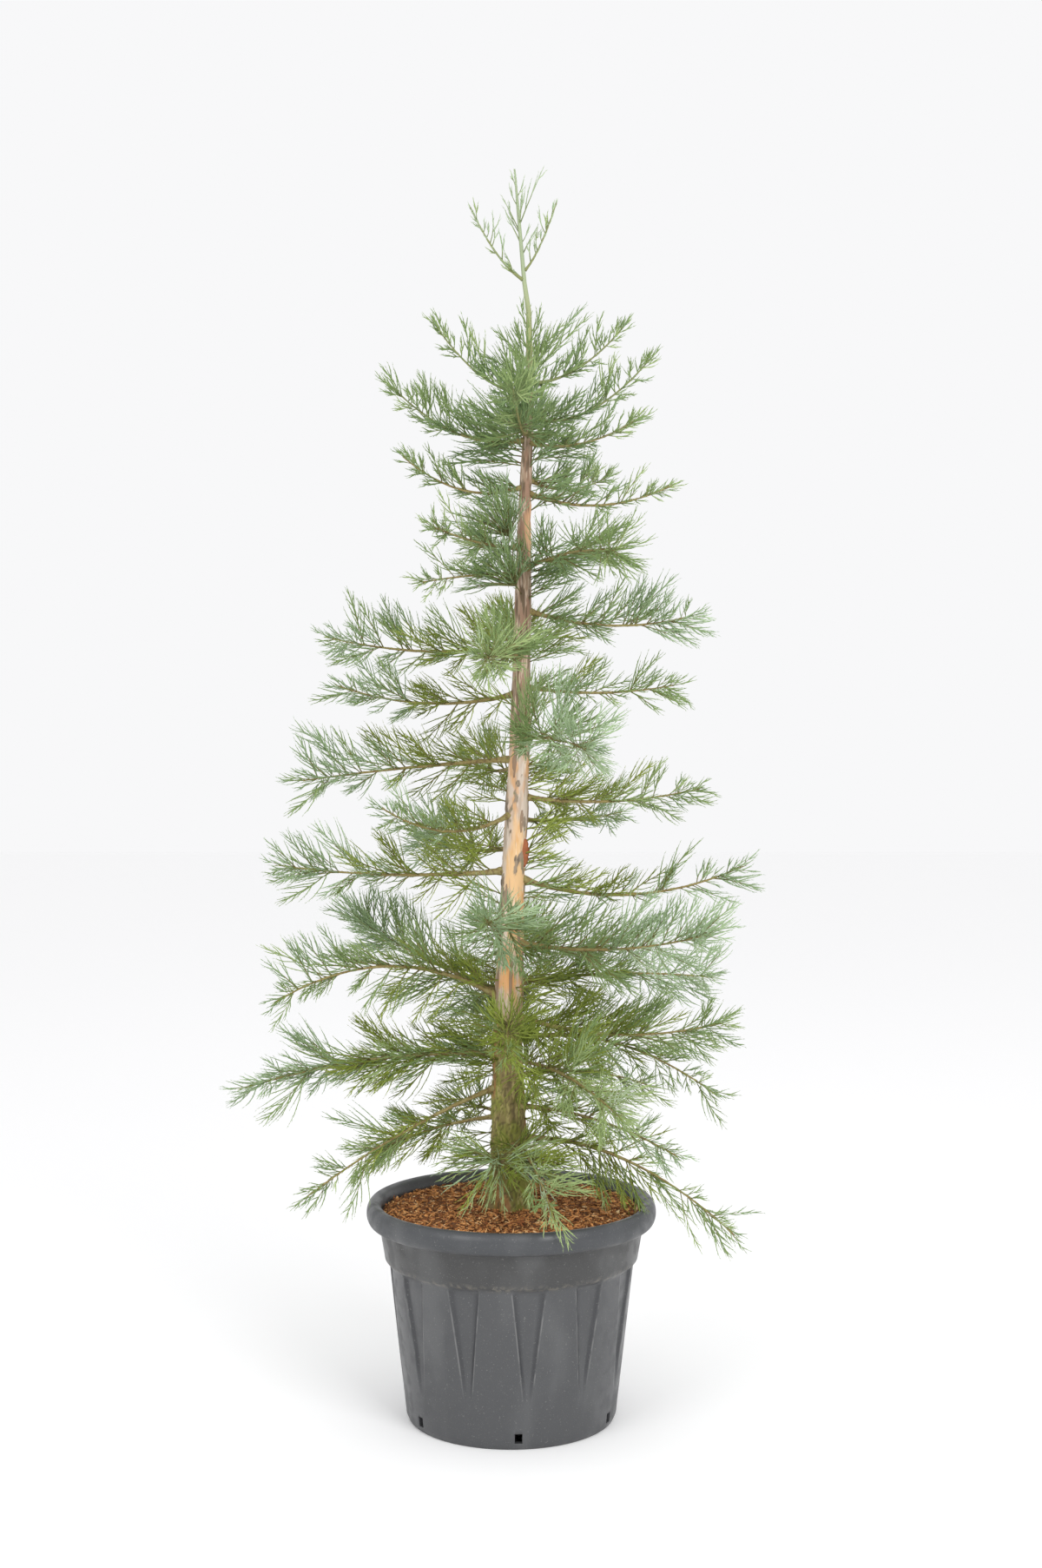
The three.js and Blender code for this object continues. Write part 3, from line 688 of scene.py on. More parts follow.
# name, height, azimuth, reach, rise, bow, bare share, twig length, fullness, inner tint, outer tint
BOUGH_ROWS = [
    ("low_front", 560, 285, 345, -75, 40, 0, 120, 0.9, "olive", "fresh"),
    ("low_right", 575, 347, 475, -180, 60, 0, 135, 0.34, "olive", "leaf"),
    ("low_back", 612, 112, 390, -70, 30, 0, 130, 0.75, "dark_olive", "leaf"),
    ("low_left_twig", 622, 163, 300, -95, 15, 0, 95, 1.0, "dark_olive", "olive"),
    ("low_front_right", 642, 322, 420, -50, 25, 0, 125, 0.58, "olive", "blue_green"),
    ("low_left_droop", 690, 200, 430, -205, 20, 0, 140, 0.52, "olive", "leaf"),
    ("low_back_right", 700, 42, 430, -70, 25, 0, 135, 0.7, "dark_olive", "leaf"),
    ("lower_front", 735, 303, 400, -55, 30, 0, 140, 1.1, "olive", "fresh"),
    ("lower_left", 750, 187, 545, -60, 25, 0.3, 145, 0.68, "olive", "blue_green"),
    ("lower_right", 778, 9, 450, -130, 55, 0, 145, 0.54, "olive", "leaf"),
    ("lower_back", 795, 95, 420, -35, 20, 0, 140, 1.0, "dark_olive", "leaf"),
    ("front_olive", 812, 270, 330, -20, 20, 0, 145, 0.7, "dark_olive", "olive"),
    ("tier3_right", 835, 344, 455, 0, -35, 0, 145, 0.95, "dark_olive", "leaf"),
    ("tier3_left", 856, 193, 485, 15, 75, 0.42, 145, 0.52, "olive", "leaf"),
    ("tier3_left_back", 872, 149, 390, 140, -10, 0, 130, 1.0, "leaf", "blue_green"),
    ("tier3_right_back", 895, 24, 480, -10, 15, 0, 140, 0.88, "olive", "silver"),
    ("tier3_back", 960, 84, 430, 10, 0, 0, 135, 1.0, "dark_olive", "leaf"),
    ("tier4_right_front", 985, 328, 465, 40, -25, 0, 150, 0.86, "leaf", "silver"),
    ("tier4_front", 1018, 262, 350, 45, -15, 0, 135, 0.95, "leaf", "blue_green"),
    ("tier4_right", 1120, 355, 480, 25, -50, 0.3, 130, 0.46, "dark_olive", "blue_green"),
    ("tier4_left", 1132, 180, 490, 10, -15, 0.33, 140, 0.68, "olive", "blue_green"),
    ("tier4_back", 1180, 122, 420, 10, -20, 0, 135, 1.0, "olive", "blue_green"),
    ("tier5_left_front", 1255, 221, 350, 15, -45, 0.38, 130, 0.5, "olive", "blue_green"),
    ("tier5_right_back", 1238, 48, 350, 5, -10, 0, 125, 0.66, "olive", "blue_green"),
    ("tier5_right", 1286, 4, 385, 15, -20, 0, 115, 0.85, "dark_olive", "leaf"),
    ("tier5_left", 1362, 184, 450, -45, 5, 0.33, 160, 0.6, "dark_olive", "blue_green"),
    ("tier5_back", 1350, 108, 390, 10, -20, 0, 130, 1.0, "olive", "leaf"),
    ("tier6_right_front", 1404, 290, 365, -20, 10, 0, 130, 1.2, "leaf", "silver"),
    ("tier6_left", 1500, 171, 390, 15, -30, 0.36, 125, 0.78, "dark_olive", "blue_green"),
    ("tier6_right", 1512, 10, 330, 5, -15, 0, 120, 0.65, "deep", "leaf"),
    ("tier6_front", 1572, 258, 350, -15, 5, 0, 135, 0.78, "leaf", "fresh"),
    ("tier7_left", 1594, 168, 425, 25, -20, 0, 120, 0.95, "olive", "blue_green"),
    ("tier7_right", 1672, 353, 355, -15, -28, 0, 135, 0.65, "deep", "blue_green"),
    ("tier7_back", 1640, 98, 330, 15, -20, 0, 120, 1.0, "olive", "leaf"),
    ("tier7_left_front", 1745, 216, 250, -30, 5, 0, 115, 0.42, "deep", "leaf"),
    ("tier8_right_front", 1752, 304, 320, 15, 15, 0, 120, 1.1, "deep", "leaf"),
    ("tier8_front", 1796, 228, 270, 25, -10, 0, 115, 0.42, "deep", "leaf"),
    ("tier8_back", 1815, 112, 290, 20, -20, 0, 110, 1.0, "deep", "leaf"),
    ("tier9_right", 1912, 358, 305, 15, -35, 0, 90, 0.52, "deep", "leaf"),
    ("tier9_left", 1925, 183, 255, 60, -40, 0, 90, 0.7, "deep", "leaf"),
    ("tier9_right_back", 1940, 47, 260, 30, -25, 0, 95, 0.9, "deep", "leaf"),
    ("whorl_right", 2014, 336, 235, 30, -25, 0, 110, 0.52, "deep", "leaf"),
    ("whorl_left", 2020, 178, 285, 115, -45, 0, 105, 0.88, "deep", "leaf"),
    ("whorl_front", 2032, 262, 220, 60, -30, 0, 115, 1.1, "deep", "leaf"),
    ("whorl_back", 2048, 96, 250, 75, -35, 0, 115, 1.0, "deep", "leaf"),
    ("whorl_right_up", 2062, 6, 255, 130, -45, 0, 105, 0.68, "deep", "leaf"),
    ("crest_left", 2112, 180, 195, 145, -35, 0, 95, 0.65, "deep", "leaf"),
    ("crest_right", 2135, 14, 205, 130, -30, 0, 95, 0.55, "deep", "leaf"),
    ("leader_left", 2345, 184, 112, 150, -22, 0, 58, 0.5, "pale", "pale"),
    ("leader_right", 2362, 355, 68, 142, -18, 0, 52, 0.5, "pale", "pale"),
]
Bough = namedtuple("Bough", "number name height azimuth reach rise bow bare twig full inner outer")
UNITS = {"height": MM, "azimuth": math.radians(1), "reach": MM, "rise": MM, "bow": MM, "twig": MM}
BOUGHS = [Bough(number, *row) for number, row in enumerate(BOUGH_ROWS)]
BOUGHS = [
    bough._replace(**{label: getattr(bough, label) * size for label, size in UNITS.items()})
    for bough in BOUGHS]
print(f"{len(BOUGHS)} boughs, the longest {max(bough.reach for bough in BOUGHS):.3f} m")

# %% Lines that the wood follows
UP = np.array([0.0, 0.0, 1.0])
BACK = np.array([0.0, 1.0, 0.0])
BOUGH_ROOT, BOUGH_STOUTER, BOUGH_TIP, BOUGH_TAPER = 1.9 * MM, 0.0085, 1.4 * MM, 1.35


def unit(vectors):
    """The same directions, one long."""
    return vectors / np.linalg.norm(vectors, axis=-1, keepdims=True)


def level_way(azimuth):
    """The level direction of an azimuth, which is 0 to the right and a quarter turn at the back."""
    return np.stack([np.cos(azimuth), np.sin(azimuth), np.zeros_like(azimuth, float)], -1)


def trunk_point(height):
    """Middle of the trunk at a height."""
    height = np.asarray(height, float)
    columns = [np.interp(height, TRUNK_STATIONS[:, 0], TRUNK_STATIONS[:, i]) for i in (1, 2)]
    return np.stack([*columns, height], -1)


def trunk_radius(height):
    """Radius of the trunk at a height."""
    return np.interp(height, TRUNK_STATIONS[:, 0], TRUNK_STATIONS[:, 3])


class Arc:
    """A line that bends once: from its root, towards a middle point, to its tip."""

    def __init__(self, root, middle, tip):
        self.root, self.middle, self.tip = root, middle, tip

    def point(self, share):
        """The point at a share of the way."""
        share = np.asarray(share, float)[..., None]
        return ((1 - share) ** 2 * self.root + 2 * share * (1 - share) * self.middle
                + share ** 2 * self.tip)

    def heading(self, share):
        """The direction there."""
        share = np.asarray(share, float)[..., None]
        return unit((1 - share) * (self.middle - self.root) + share * (self.tip - self.middle))


def bough_line(bough):
    """Centre line of a bough, from the trunk's axis to its tip."""
    root = trunk_point(bough.height)
    tip = root + bough.reach * level_way(bough.azimuth) + bough.rise * UP
    return Arc(root, (root + tip) / 2 + 2 * bough.bow * UP, tip)


def bough_radius(bough, share):
    """A longer bough is stouter at its root, and all end equally thin."""
    left = (1 - np.asarray(share)) ** BOUGH_TAPER
    return (BOUGH_ROOT + BOUGH_STOUTER * bough.reach) * left + BOUGH_TIP * (1 - left)


def opened(along, angle, roll):
    """Directions opened from "along" by an angle, on the side that "roll" gives (0 is up)."""
    steep = np.abs(along[..., 2:]) > 0.95
    side = unit(np.where(steep, np.cross(BACK, along), np.cross(along, UP)))
    top = np.cross(side, along)
    angle, roll = np.asarray(angle, float)[..., None], np.asarray(roll, float)[..., None]
    return (along * np.cos(angle) + top * np.sin(angle) * np.cos(roll)
            + side * np.sin(angle) * np.sin(roll))


print(f"trunk: {trunk_radius(0.5):.4f} m radius at the foot, {trunk_radius(2.3):.4f} m near the top")


# %% Tubes round many lines at once
def tube_faces(rings, sides, count):
    """Triangles of many closed tubes, each with its points ring by ring."""
    here, beside = ring_corners(rings - 1, sides)
    walls = np.concatenate([
        np.stack([here, beside, beside + sides], -1).reshape(-1, 3),
        np.stack([here, beside + sides, here + sides], -1).reshape(-1, 3)])
    corner = np.arange(1, sides - 1)
    start = np.stack([np.zeros_like(corner), corner + 1, corner], -1)
    end = np.stack([np.zeros_like(corner), corner, corner + 1], -1) + (rings - 1) * sides
    one = np.vstack([walls, start, end])
    return (one[None] + rings * sides * np.arange(count)[:, None, None]).reshape(-1, 3)


def tubes(lines, radii, sides):
    """Points and triangles of round tubes: lines (tubes, rings, 3), radii (tubes, rings, maybe sides)."""
    along = unit(np.gradient(lines, axis=1))
    chord = unit(lines[:, -1] - lines[:, 0])
    reference = np.where(np.abs(chord[:, 2:]) > 0.85, [1.0, 0.0, 0.0], UP)
    side = unit(np.cross(reference[:, None], along))
    front = np.cross(along, side)
    turn = 2 * np.pi * np.arange(sides) / sides
    around = (np.cos(turn)[:, None] * side[:, :, None] + np.sin(turn)[:, None] * front[:, :, None])
    radii = radii if radii.ndim == 3 else radii[:, :, None]
    points = lines[:, :, None] + radii[..., None] * around
    return points.reshape(-1, 3), tube_faces(lines.shape[1], sides, len(lines))


def pointed_tubes(lines, radii):
    """Three-sided tubes that close to a point: one radius for each point of a line but the last."""
    rings = radii.shape[1]
    points, faces = tubes(lines[:, :-1], radii, 3)
    points = np.concatenate([points.reshape(len(lines), rings * 3, 3), lines[:, -1:]], 1)
    one = faces.reshape(len(lines), -1, 3)[0][:-1]
    last, point = 3 * (rings - 1), 3 * rings
    one = np.vstack([one, [[last + i, last + (i + 1) % 3, point] for i in range(3)]])
    faces = one[None] + (3 * rings + 1) * np.arange(len(lines))[:, None, None]
    return points.reshape(-1, 3), faces.reshape(-1, 3)


print(f"a tube of 3 rings and 4 sides has {len(tube_faces(3, 4, 1))} triangles")

# %% [markdown]
# ## Bark of the trunk
#
# The bark of a young sequoia changes with height. At the foot it is thick, scaly and green with
# moss. In the middle it peels: thin plates with dark edges lift off smooth peach and grey wood.
# Higher up it is brown and fibrous, and the leader is still a green shoot. A displacement map
# would do this on a plain cylinder, but the export wants real relief. So the trunk is a tube of
# close rings whose points move out by noise read in space. The mesh remembers where a plate and
# where a crack lies, so that the finish can follow them, and a few curled flakes stand off it.

# %% Relief of the bark
RELIEF_STEP = 0.0032
TRUNK_COLUMNS = 84
LEADER_COLUMNS = 20
LEADER_FROM = 1.90
FLARE_LOBES, FLARE_DEPTH, FLARE_HEIGHT = 5, 0.13, 0.11
SCALES_END, PEELING_FROM, PEELING_END = (0.78, 0.90), (0.82, 0.92), (1.37, 1.46)
FIBRES_FROM, FIBRES_END = (1.35, 1.44), (2.05, 2.2)


def smooth_step(value, low, high):
    """0 below low, 1 above high, smooth between."""
    share = np.clip((value - low) / (high - low), 0, 1)
    return share * share * (3 - 2 * share)


def cell_gap(point, cell, tall):
    """Distance from the nearest furrow between scales, about 0 in the furrow and 1 on the scale."""
    near = noise.voronoi(Vector((point[0] / cell, point[1] / cell, point[2] / (cell * tall))))[0]
    return min(1.0, (near[1] - near[0]) * 2.4)


def soft_noise(point, size, tall):
    """Smooth noise from about -1 to 1, drawn out along Z."""
    return noise.noise(Vector((point[0] / size, point[1] / size, point[2] / (size * tall))))


def bark_relief(points):
    """For each point of the trunk: how far it stands out, how much of a plate and of a crack it is."""
    def noise_of(size, tall):
        return np.array([soft_noise(point, size, tall) for point in points])

    height = points[:, 2]
    scaly = 1 - smooth_step(height, *SCALES_END)
    peeling = smooth_step(height, *PEELING_FROM) * (1 - smooth_step(height, *PEELING_END))
    fibrous = smooth_step(height, *FIBRES_FROM) * (1 - smooth_step(height, *FIBRES_END))
    scales = np.array([cell_gap(point, 0.0078, 2.9) for point in points])
    swell, ragged, fibres = noise_of(0.024, 2.2), noise_of(0.006, 2.4), noise_of(0.0036, 10.0)
    plates = smooth_step(noise_of(0.021, 3.4) + 0.3 * ragged, 0.24, 0.29)
    strips = smooth_step(noise_of(0.0085, 6.5) + 0.35 * fibres, -0.06, 0.08)
    out = scaly * (0.0027 * (scales - 0.6) + 0.0026 * swell + 0.0012 * ragged)
    out += peeling * (0.0017 * plates + 0.0006 * swell + 0.0003 * fibres)
    out += fibrous * (0.0010 * fibres + 0.0017 * (strips - 0.5))
    # the furrows, which the finish darkens: their own darker bark and painted shade
    cracks = scaly * (1 - smooth_step(scales, 0.04, 0.34)) * smooth_step(ragged, -0.5, 0.1)
    cracks += fibrous * (1 - strips) * smooth_step(-fibres, -0.35, 0.15)
    return out, plates * np.maximum(peeling, fibrous * 0.4), np.minimum(1, cracks)


def trunk_tube(low, high, columns):
    """One stretch of the trunk with its flare, its lean and its bark."""
    rings = int((high - low) / RELIEF_STEP)
    height = np.linspace(low, high, rings)
    line = trunk_point(height)[None]
    turn = 2 * np.pi * np.arange(columns) / columns
    flare = FLARE_DEPTH * np.clip(1 - (height - low) / FLARE_HEIGHT, 0, 1) * (low < 1)
    radii = trunk_radius(height)[:, None] * (1 + flare[:, None] * np.cos(FLARE_LOBES * turn))
    points, faces = tubes(line, radii[None], columns)
    out, plates, cracks = bark_relief(points)
    centre = np.repeat(line[0], columns, 0)
    points += unit(points - centre) * (out * np.minimum(1, trunk_radius(points[:, 2]) / 0.012))[:, None]
    points[:, 2] = np.clip(points[:, 2], trunk_low.z, trunk_high.z)
    return points, faces, plates, cracks


def join(parts):
    """Several (points, faces) as one."""
    points, faces, before = [], [], 0
    for part_points, part_faces in parts:
        points.append(part_points)
        faces.append(part_faces + before)
        before += len(part_points)
    return np.vstack(points), np.vstack(faces)


foot = trunk_tube(trunk_low.z, LEADER_FROM + 0.02, TRUNK_COLUMNS)
top = trunk_tube(LEADER_FROM, trunk_high.z, LEADER_COLUMNS)
print(f"trunk relief: {len(foot[1]) + len(top[1])} triangles")

# %% Curled flakes of bark
FLAKES = 16
FLAKES_LOW, FLAKES_HIGH = 0.88, 1.46
FLAKE_THICKNESS = 0.0009
FLAKE_ROWS, FLAKE_COLUMNS = 12, 5
BIG_FLAKE = (1.168, math.radians(334), 0.015, 0.058, 0.0085)  # height, azimuth, width, length, curl


def slab(outer, inner):
    """A closed thin sheet between two grids of points."""
    rows, columns = outer.shape[:2]
    row, column = np.meshgrid(np.arange(rows - 1), np.arange(columns - 1), indexing="ij")
    here = row * columns + column
    quads = np.stack([here, here + 1, here + columns + 1, here + columns], -1).reshape(-1, 4)
    size = rows * columns
    edge = np.concatenate([
        np.arange(columns - 1), np.arange(columns - 1, size - 1, columns),
        np.arange(size - 1, size - columns, -1), np.arange(size - columns, 0, -columns)])
    following = np.roll(edge, -1)
    rim = np.stack([following, edge, edge + size, following + size], -1)
    points = np.vstack([outer.reshape(-1, 3), inner.reshape(-1, 3)])
    return points, halved(np.vstack([quads, quads[:, ::-1] + size, rim]))


def flake(height, azimuth, width, tall, lift, random):
    """A ragged strip of bark held along one edge and curled off the trunk at the other."""
    down = np.linspace(0, 1, FLAKE_ROWS)[:, None]
    across = np.linspace(0, 1, FLAKE_COLUMNS)[None]
    narrow = 0.2 + 0.8 * np.sin(np.pi * np.clip(down, 0.02, 0.98)) ** 0.7
    ragged = narrow * random.uniform(0.55, 1.15, (FLAKE_ROWS, 1))
    level = height + tall * (0.5 - down) + 0 * across
    turn = azimuth + width * (narrow * -0.5 + ragged * across) / trunk_radius(height)
    sideways = level_way(turn)
    stand_off = trunk_radius(level) + 0.0006 + lift * (across ** 2) * narrow
    outer = trunk_point(level) + sideways * stand_off[..., None]
    return slab(outer, outer - sideways * FLAKE_THICKNESS)


def flakes():
    """One large one on the right, then slim ones dealt out round the peeling stretch."""
    random = np.random.default_rng(21)
    made = [flake(*BIG_FLAKE, random)]
    for _ in range(FLAKES):
        side = random.choice([-1, 1])
        made.append(flake(
            random.uniform(FLAKES_LOW, FLAKES_HIGH), random.uniform(0, 2 * np.pi),
            side * random.uniform(0.004, 0.009), random.uniform(0.03, 0.10),
            random.uniform(0.001, 0.0035), random))
    return join(made)


flake_points, flake_faces = flakes()
print(f"{FLAKES + 1} flakes of bark, {len(flake_faces)} triangles")


# %% Bark finish
BARK_PATCHES = [  # colour, scale, stretch, low and high edge, strength
    ((206, 192, 180), 21, 3.2, 0.45, 0.56, 0.9), ((212, 156, 98), 40, 3.4, 0.52, 0.62, 0.75),
    ((168, 146, 126), 130, 8, 0.52, 0.62, 0.5), ((236, 224, 210), 95, 7, 0.56, 0.66, 0.6)]
PLATE_PATCHES = [((106, 92, 78), 150, 4, 0.46, 0.6, 0.85), ((128, 128, 92), 60, 1, 0.52, 0.64, 0.7)]
UPPER_PATCHES = [
    ((142, 104, 84), 60, 6, 0.48, 0.62, 0.6), ((204, 182, 162), 190, 10, 0.52, 0.62, 0.85),
    ((206, 160, 118), 34, 5, 0.60, 0.68, 0.7)]
OCHRE_PATCHES = [((226, 166, 104), 36, 3, 0.38, 0.50, 0.85)]
FOOT_PATCHES = [
    ((130, 134, 56), 26, 2.2, 0.40, 0.56, 0.85), ((168, 156, 100), 110, 2.6, 0.54, 0.62, 0.7),
    ((156, 106, 68), 24, 6, 0.56, 0.64, 0.75)]


def trunk_finish():
    """Peach, grey and ochre with brown plates, brown strips above, moss at the foot, a green leader."""
    finish = Finish("trunk bark", (224, 184, 136), 0.82)
    finish.patches(BARK_PATCHES)
    finish.layer((148, 132, 114), finish.stored("plate"), 0.95)
    finish.patches(PLATE_PATCHES, finish.stored("plate"))
    upper = finish.height_mask(*FIBRES_FROM)
    finish.layer((160, 136, 114), upper)
    finish.patches(UPPER_PATCHES, upper)
    ochre = finish.product(finish.height_mask(0.85, 0.90), finish.height_mask(1.00, 0.95))
    finish.patches(OCHRE_PATCHES, ochre)
    low = finish.height_mask(0.90, 0.80)
    finish.layer((134, 118, 76), low)
    finish.patches(FOOT_PATCHES, low)
    # dark in the cracks: the bark's own darker furrows, and painted shade in them
    finish.layer((74, 62, 40), finish.stored("crack"), 0.7)
    finish.layer((136, 114, 94), finish.stored("flake"), 0.9)
    finish.layer((160, 92, 56), finish.stored("rust"), 0.95)
    finish.layer((156, 161, 112), finish.height_mask(2.06, 2.22))
    finish.layer((150, 162, 130), finish.height_mask(2.2, 2.4))
    finish.bump(260, 5, 0.4, 0.0012, 0.7)
    return finish.material


trunk = make_mesh("trunk_bark", *join([foot[:2], top[:2], (flake_points, flake_faces)]), [trunk_finish()])
no_flake = np.zeros(len(foot[0]) + len(top[0]))
on_flake = np.ones(len(flake_points))
store(trunk, "plate", np.concatenate([foot[2], top[2], 0 * on_flake]))
store(trunk, "crack", np.concatenate([foot[3], top[3], 0 * on_flake]))
store(trunk, "flake", np.concatenate([no_flake, on_flake]))
on_flake[2 * FLAKE_ROWS * FLAKE_COLUMNS:] = 0
store(trunk, "rust", np.concatenate([no_flake, on_flake]))
total_triangles += settle(trunk, "bark", "trunk")

# %% [markdown]
# ## Boughs
#
# A bough is a tapering limb with rough olive-brown bark, and it swells where it leaves the trunk.
# A bevelled curve would be quick, but every ring of it would be a perfect circle. So all the
# boughs are tubes of close rings in one mesh, with small scales raised by the same noise as the
# trunk's. Each runs its whole length, on through its sprays, and stands for the bare stretch
# that is a solid of its own.

# %% Boughs with their bark
BOUGH_SIDES = 9
BOUGH_STEP = 0.0065
COLLAR_LENGTH, COLLAR_SWELL = 0.016, 0.75
BARK_ROUGHNESS = 0.16


def bough_tube(bough):
    """One bough from inside the trunk to its tip."""
    line = bough_line(bough)
    length = math.hypot(bough.reach, bough.rise)
    share = np.linspace(0, 0.99, max(12, int(length / BOUGH_STEP)))
    start = trunk_radius(bough.height) * 0.7 / bough.reach
    share = start + share * (1 - start)
    away = np.maximum(0, share * length - trunk_radius(bough.height))
    radii = bough_radius(bough, share) * (1 + COLLAR_SWELL * np.exp(-away / COLLAR_LENGTH))
    points, faces = tubes(line.point(share)[None], radii[None], BOUGH_SIDES)
    centre = np.repeat(line.point(share), BOUGH_SIDES, 0)
    scales = np.array([cell_gap(point, 0.0055, 1.0) for point in points])
    lumps = np.array([soft_noise(point, 0.012, 1.0) for point in points])
    thick = np.repeat(radii, BOUGH_SIDES)
    points += unit(points - centre) * (thick * BARK_ROUGHNESS * (scales - 0.6 + lumps))[:, None]
    return points, faces


def bough_finish():
    """Olive-brown bark with paler scales, brown between them, greener high up."""
    finish = Finish("bough bark", (136, 120, 72), 0.8)
    finish.patches([((150, 140, 92), 85, 1, 0.45, 0.6, 0.8), ((104, 84, 58), 150, 1, 0.55, 0.64, 0.8)])
    finish.layer((124, 132, 84), finish.height_mask(1.98, 2.1), 0.9)
    finish.bump(420, 1, 0.5, 0.0008, 0.7)
    return finish.material


bough_points, bough_faces = join([bough_tube(bough) for bough in BOUGHS])
bough_wood = make_mesh("bough_bark", bough_points, bough_faces, [bough_finish()])
bare_boughs = [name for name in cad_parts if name.startswith("bough_")]
total_triangles += settle(bough_wood, "bough", *bare_boughs)

# %% [markdown]
# ## Twigs
#
# Twigs leave a bough in turn on its sides, its top and its underside. They open wide at their
# root and close up towards the way the bough grows, and they are longest past the middle. The
# rule below is the one that the solids follow: the same seeds give the same long twigs. Then it
# goes on to finer ones, which could be scattered at random, but real ones stand in tufts. So
# tufts of shorter twigs fill the room between the long ones, and a tuft at the tip carries the
# bough's line on. A bough that points at the viewer ends in a star of straight twigs, and the
# bare stretch of a long bough still carries a sparse row, mostly on its upper side.

# %% The rule for the long twigs
TWIG_SPACING, TWIG_LEAST, TWIG_FIRST = 92 * MM, 4, 0.12
TWIG_OPEN, TWIG_CLOSE, TWIG_LIFT = math.radians(52), math.radians(24), 0.28
TWIG_SHORTEST, TWIG_SWELL = 0.62, 0.42
TWIG_ROLLS = [75, -68, 14, -132, 126, -22]
HIGH_FROM, HIGH_ROLL_SHARE = 1.9, 0.55

Twig = namedtuple("Twig", "line length radius tint spacing stout")


def seeded(seed):
    """The same short run of numbers for the same seed, each from 0 to 1."""
    state = (seed * 7919 + 12345) & 0xFFFFFFFF
    while True:
        state = (state * 1664525 + 1013904223) & 0xFFFFFFFF
        yield state / 4294967296


def twig_line(line, place, roll, length, tighten=1.0, lift=TWIG_LIFT):
    """A twig that leaves the bough at one share of its length."""
    root, along = line.point(place), line.heading(place)
    start = opened(along, TWIG_OPEN * tighten, roll)
    end = opened(along, TWIG_CLOSE * tighten, roll) + lift * math.cos(roll) * UP
    middle = root + start * length / 2
    return Arc(root, middle, middle + unit(end) * length / 2)


def twig_length(bough, share):
    """Longest past the middle of the leafy stretch."""
    return bough.twig * (TWIG_SHORTEST + TWIG_SWELL * math.sin(math.pi * share ** 0.8))


def long_twigs(bough, line):
    """The twigs that the solids have too: (line, length, place on the bough)."""
    random = seeded(bough.number + 1)
    first = max(bough.bare, TWIG_FIRST)
    count = max(TWIG_LEAST, int(bough.reach * (1 - first) / TWIG_SPACING + 0.5) + 1)
    twigs = []
    for i in range(count):
        share = (i + 0.3 + 0.4 * next(random)) / count
        place = first + (0.97 - first) * share
        turn = TWIG_ROLLS[i % len(TWIG_ROLLS)] + 24 * (next(random) - 0.5)
        roll = math.radians(turn * (HIGH_ROLL_SHARE if bough.height > HIGH_FROM else 1))
        length = twig_length(bough, share) * (0.9 + 0.2 * next(random))
        twigs.append((twig_line(line, place, roll, length), length, place))
    return twigs


print(f"{sum(len(long_twigs(bough, bough_line(bough))) for bough in BOUGHS)} long twigs")

# %% The tints of the sprays
TINTS = {  # from the shade to the tips
    "dark_olive": (112, 126, 42), "olive": (134, 148, 56), "deep": (120, 144, 94),
    "leaf": (126, 148, 90), "fresh": (150, 169, 110), "blue_green": (136, 158, 116),
    "silver": (157, 179, 138), "pale": (163, 179, 144),
}
TINT_NAMES = list(TINTS)
# a shade off each tint; where there is nothing darker or paler, the nearest tint instead
LIGHTER = {
    "dark_olive": "olive", "olive": "leaf", "deep": "leaf", "leaf": "fresh", "fresh": "pale",
    "blue_green": "silver", "silver": "pale", "pale": "silver"}
DARKER = {
    "dark_olive": "olive", "olive": "dark_olive", "deep": "leaf", "leaf": "deep", "fresh": "leaf",
    "blue_green": "leaf", "silver": "blue_green", "pale": "fresh"}
OFF_SHADE = 0.16
OUTER_FROM, OUTER_SPREAD = 0.48, 0.1


def spray_tint(bough, place, random):
    """The tint of one spray: by where it sits on the bough, and now and then a shade off it."""
    outer = place + random.normal(0, OUTER_SPREAD) > OUTER_FROM
    tint = bough.outer if outer else bough.inner
    draw = random.random()
    if draw < OFF_SHADE:
        tint = DARKER[tint]
    elif draw > 1 - OFF_SHADE:
        tint = LIGHTER[tint]
    return TINT_NAMES.index(tint)


print("tints:", ", ".join(TINT_NAMES))

# %% Tufts between the long twigs
FINE_SPACING, HIGH_SPACING_SHARE = 0.0118, 0.64
FINE_FIRST, FINE_LAST = 0.01, 0.955
FINE_ROLL_SHARE, HIGH_FINE_ROLL_SHARE = 0.9, 0.72
TUFT_TWIGS, TUFT_LENGTH = 3, 0.016
NEAR_TRUNK, NEAR_TRUNK_GAIN = 0.35, 0.45
TAPER_FROM, END_TAPER = 0.55, 0.35
OPEN_FROM, END_OPEN, HIGH_END_OPEN = 0.6, 0.4, 0.15
FINE_TWIGS_FROM = {"low_left_droop": 0.42, "low_left_twig": 0.35, "low_back": 0.25}
FINE_LIFT = 0.42
TUFT_PLACE, TUFT_SIZE, CLOSER_IN = (0.15, 0.85), (0.74, 1.16), 1.2
FINE_LENGTH, FINE_OPENING, FINE_ROLL_SPREAD = (0.8, 1.1), (0.82, 1.12), 0.4
UNDER_SHARE, UNDER_FROM, TOP_OPEN = 0.5, 1.05, 0.16
GOLDEN = math.radians(137.508)


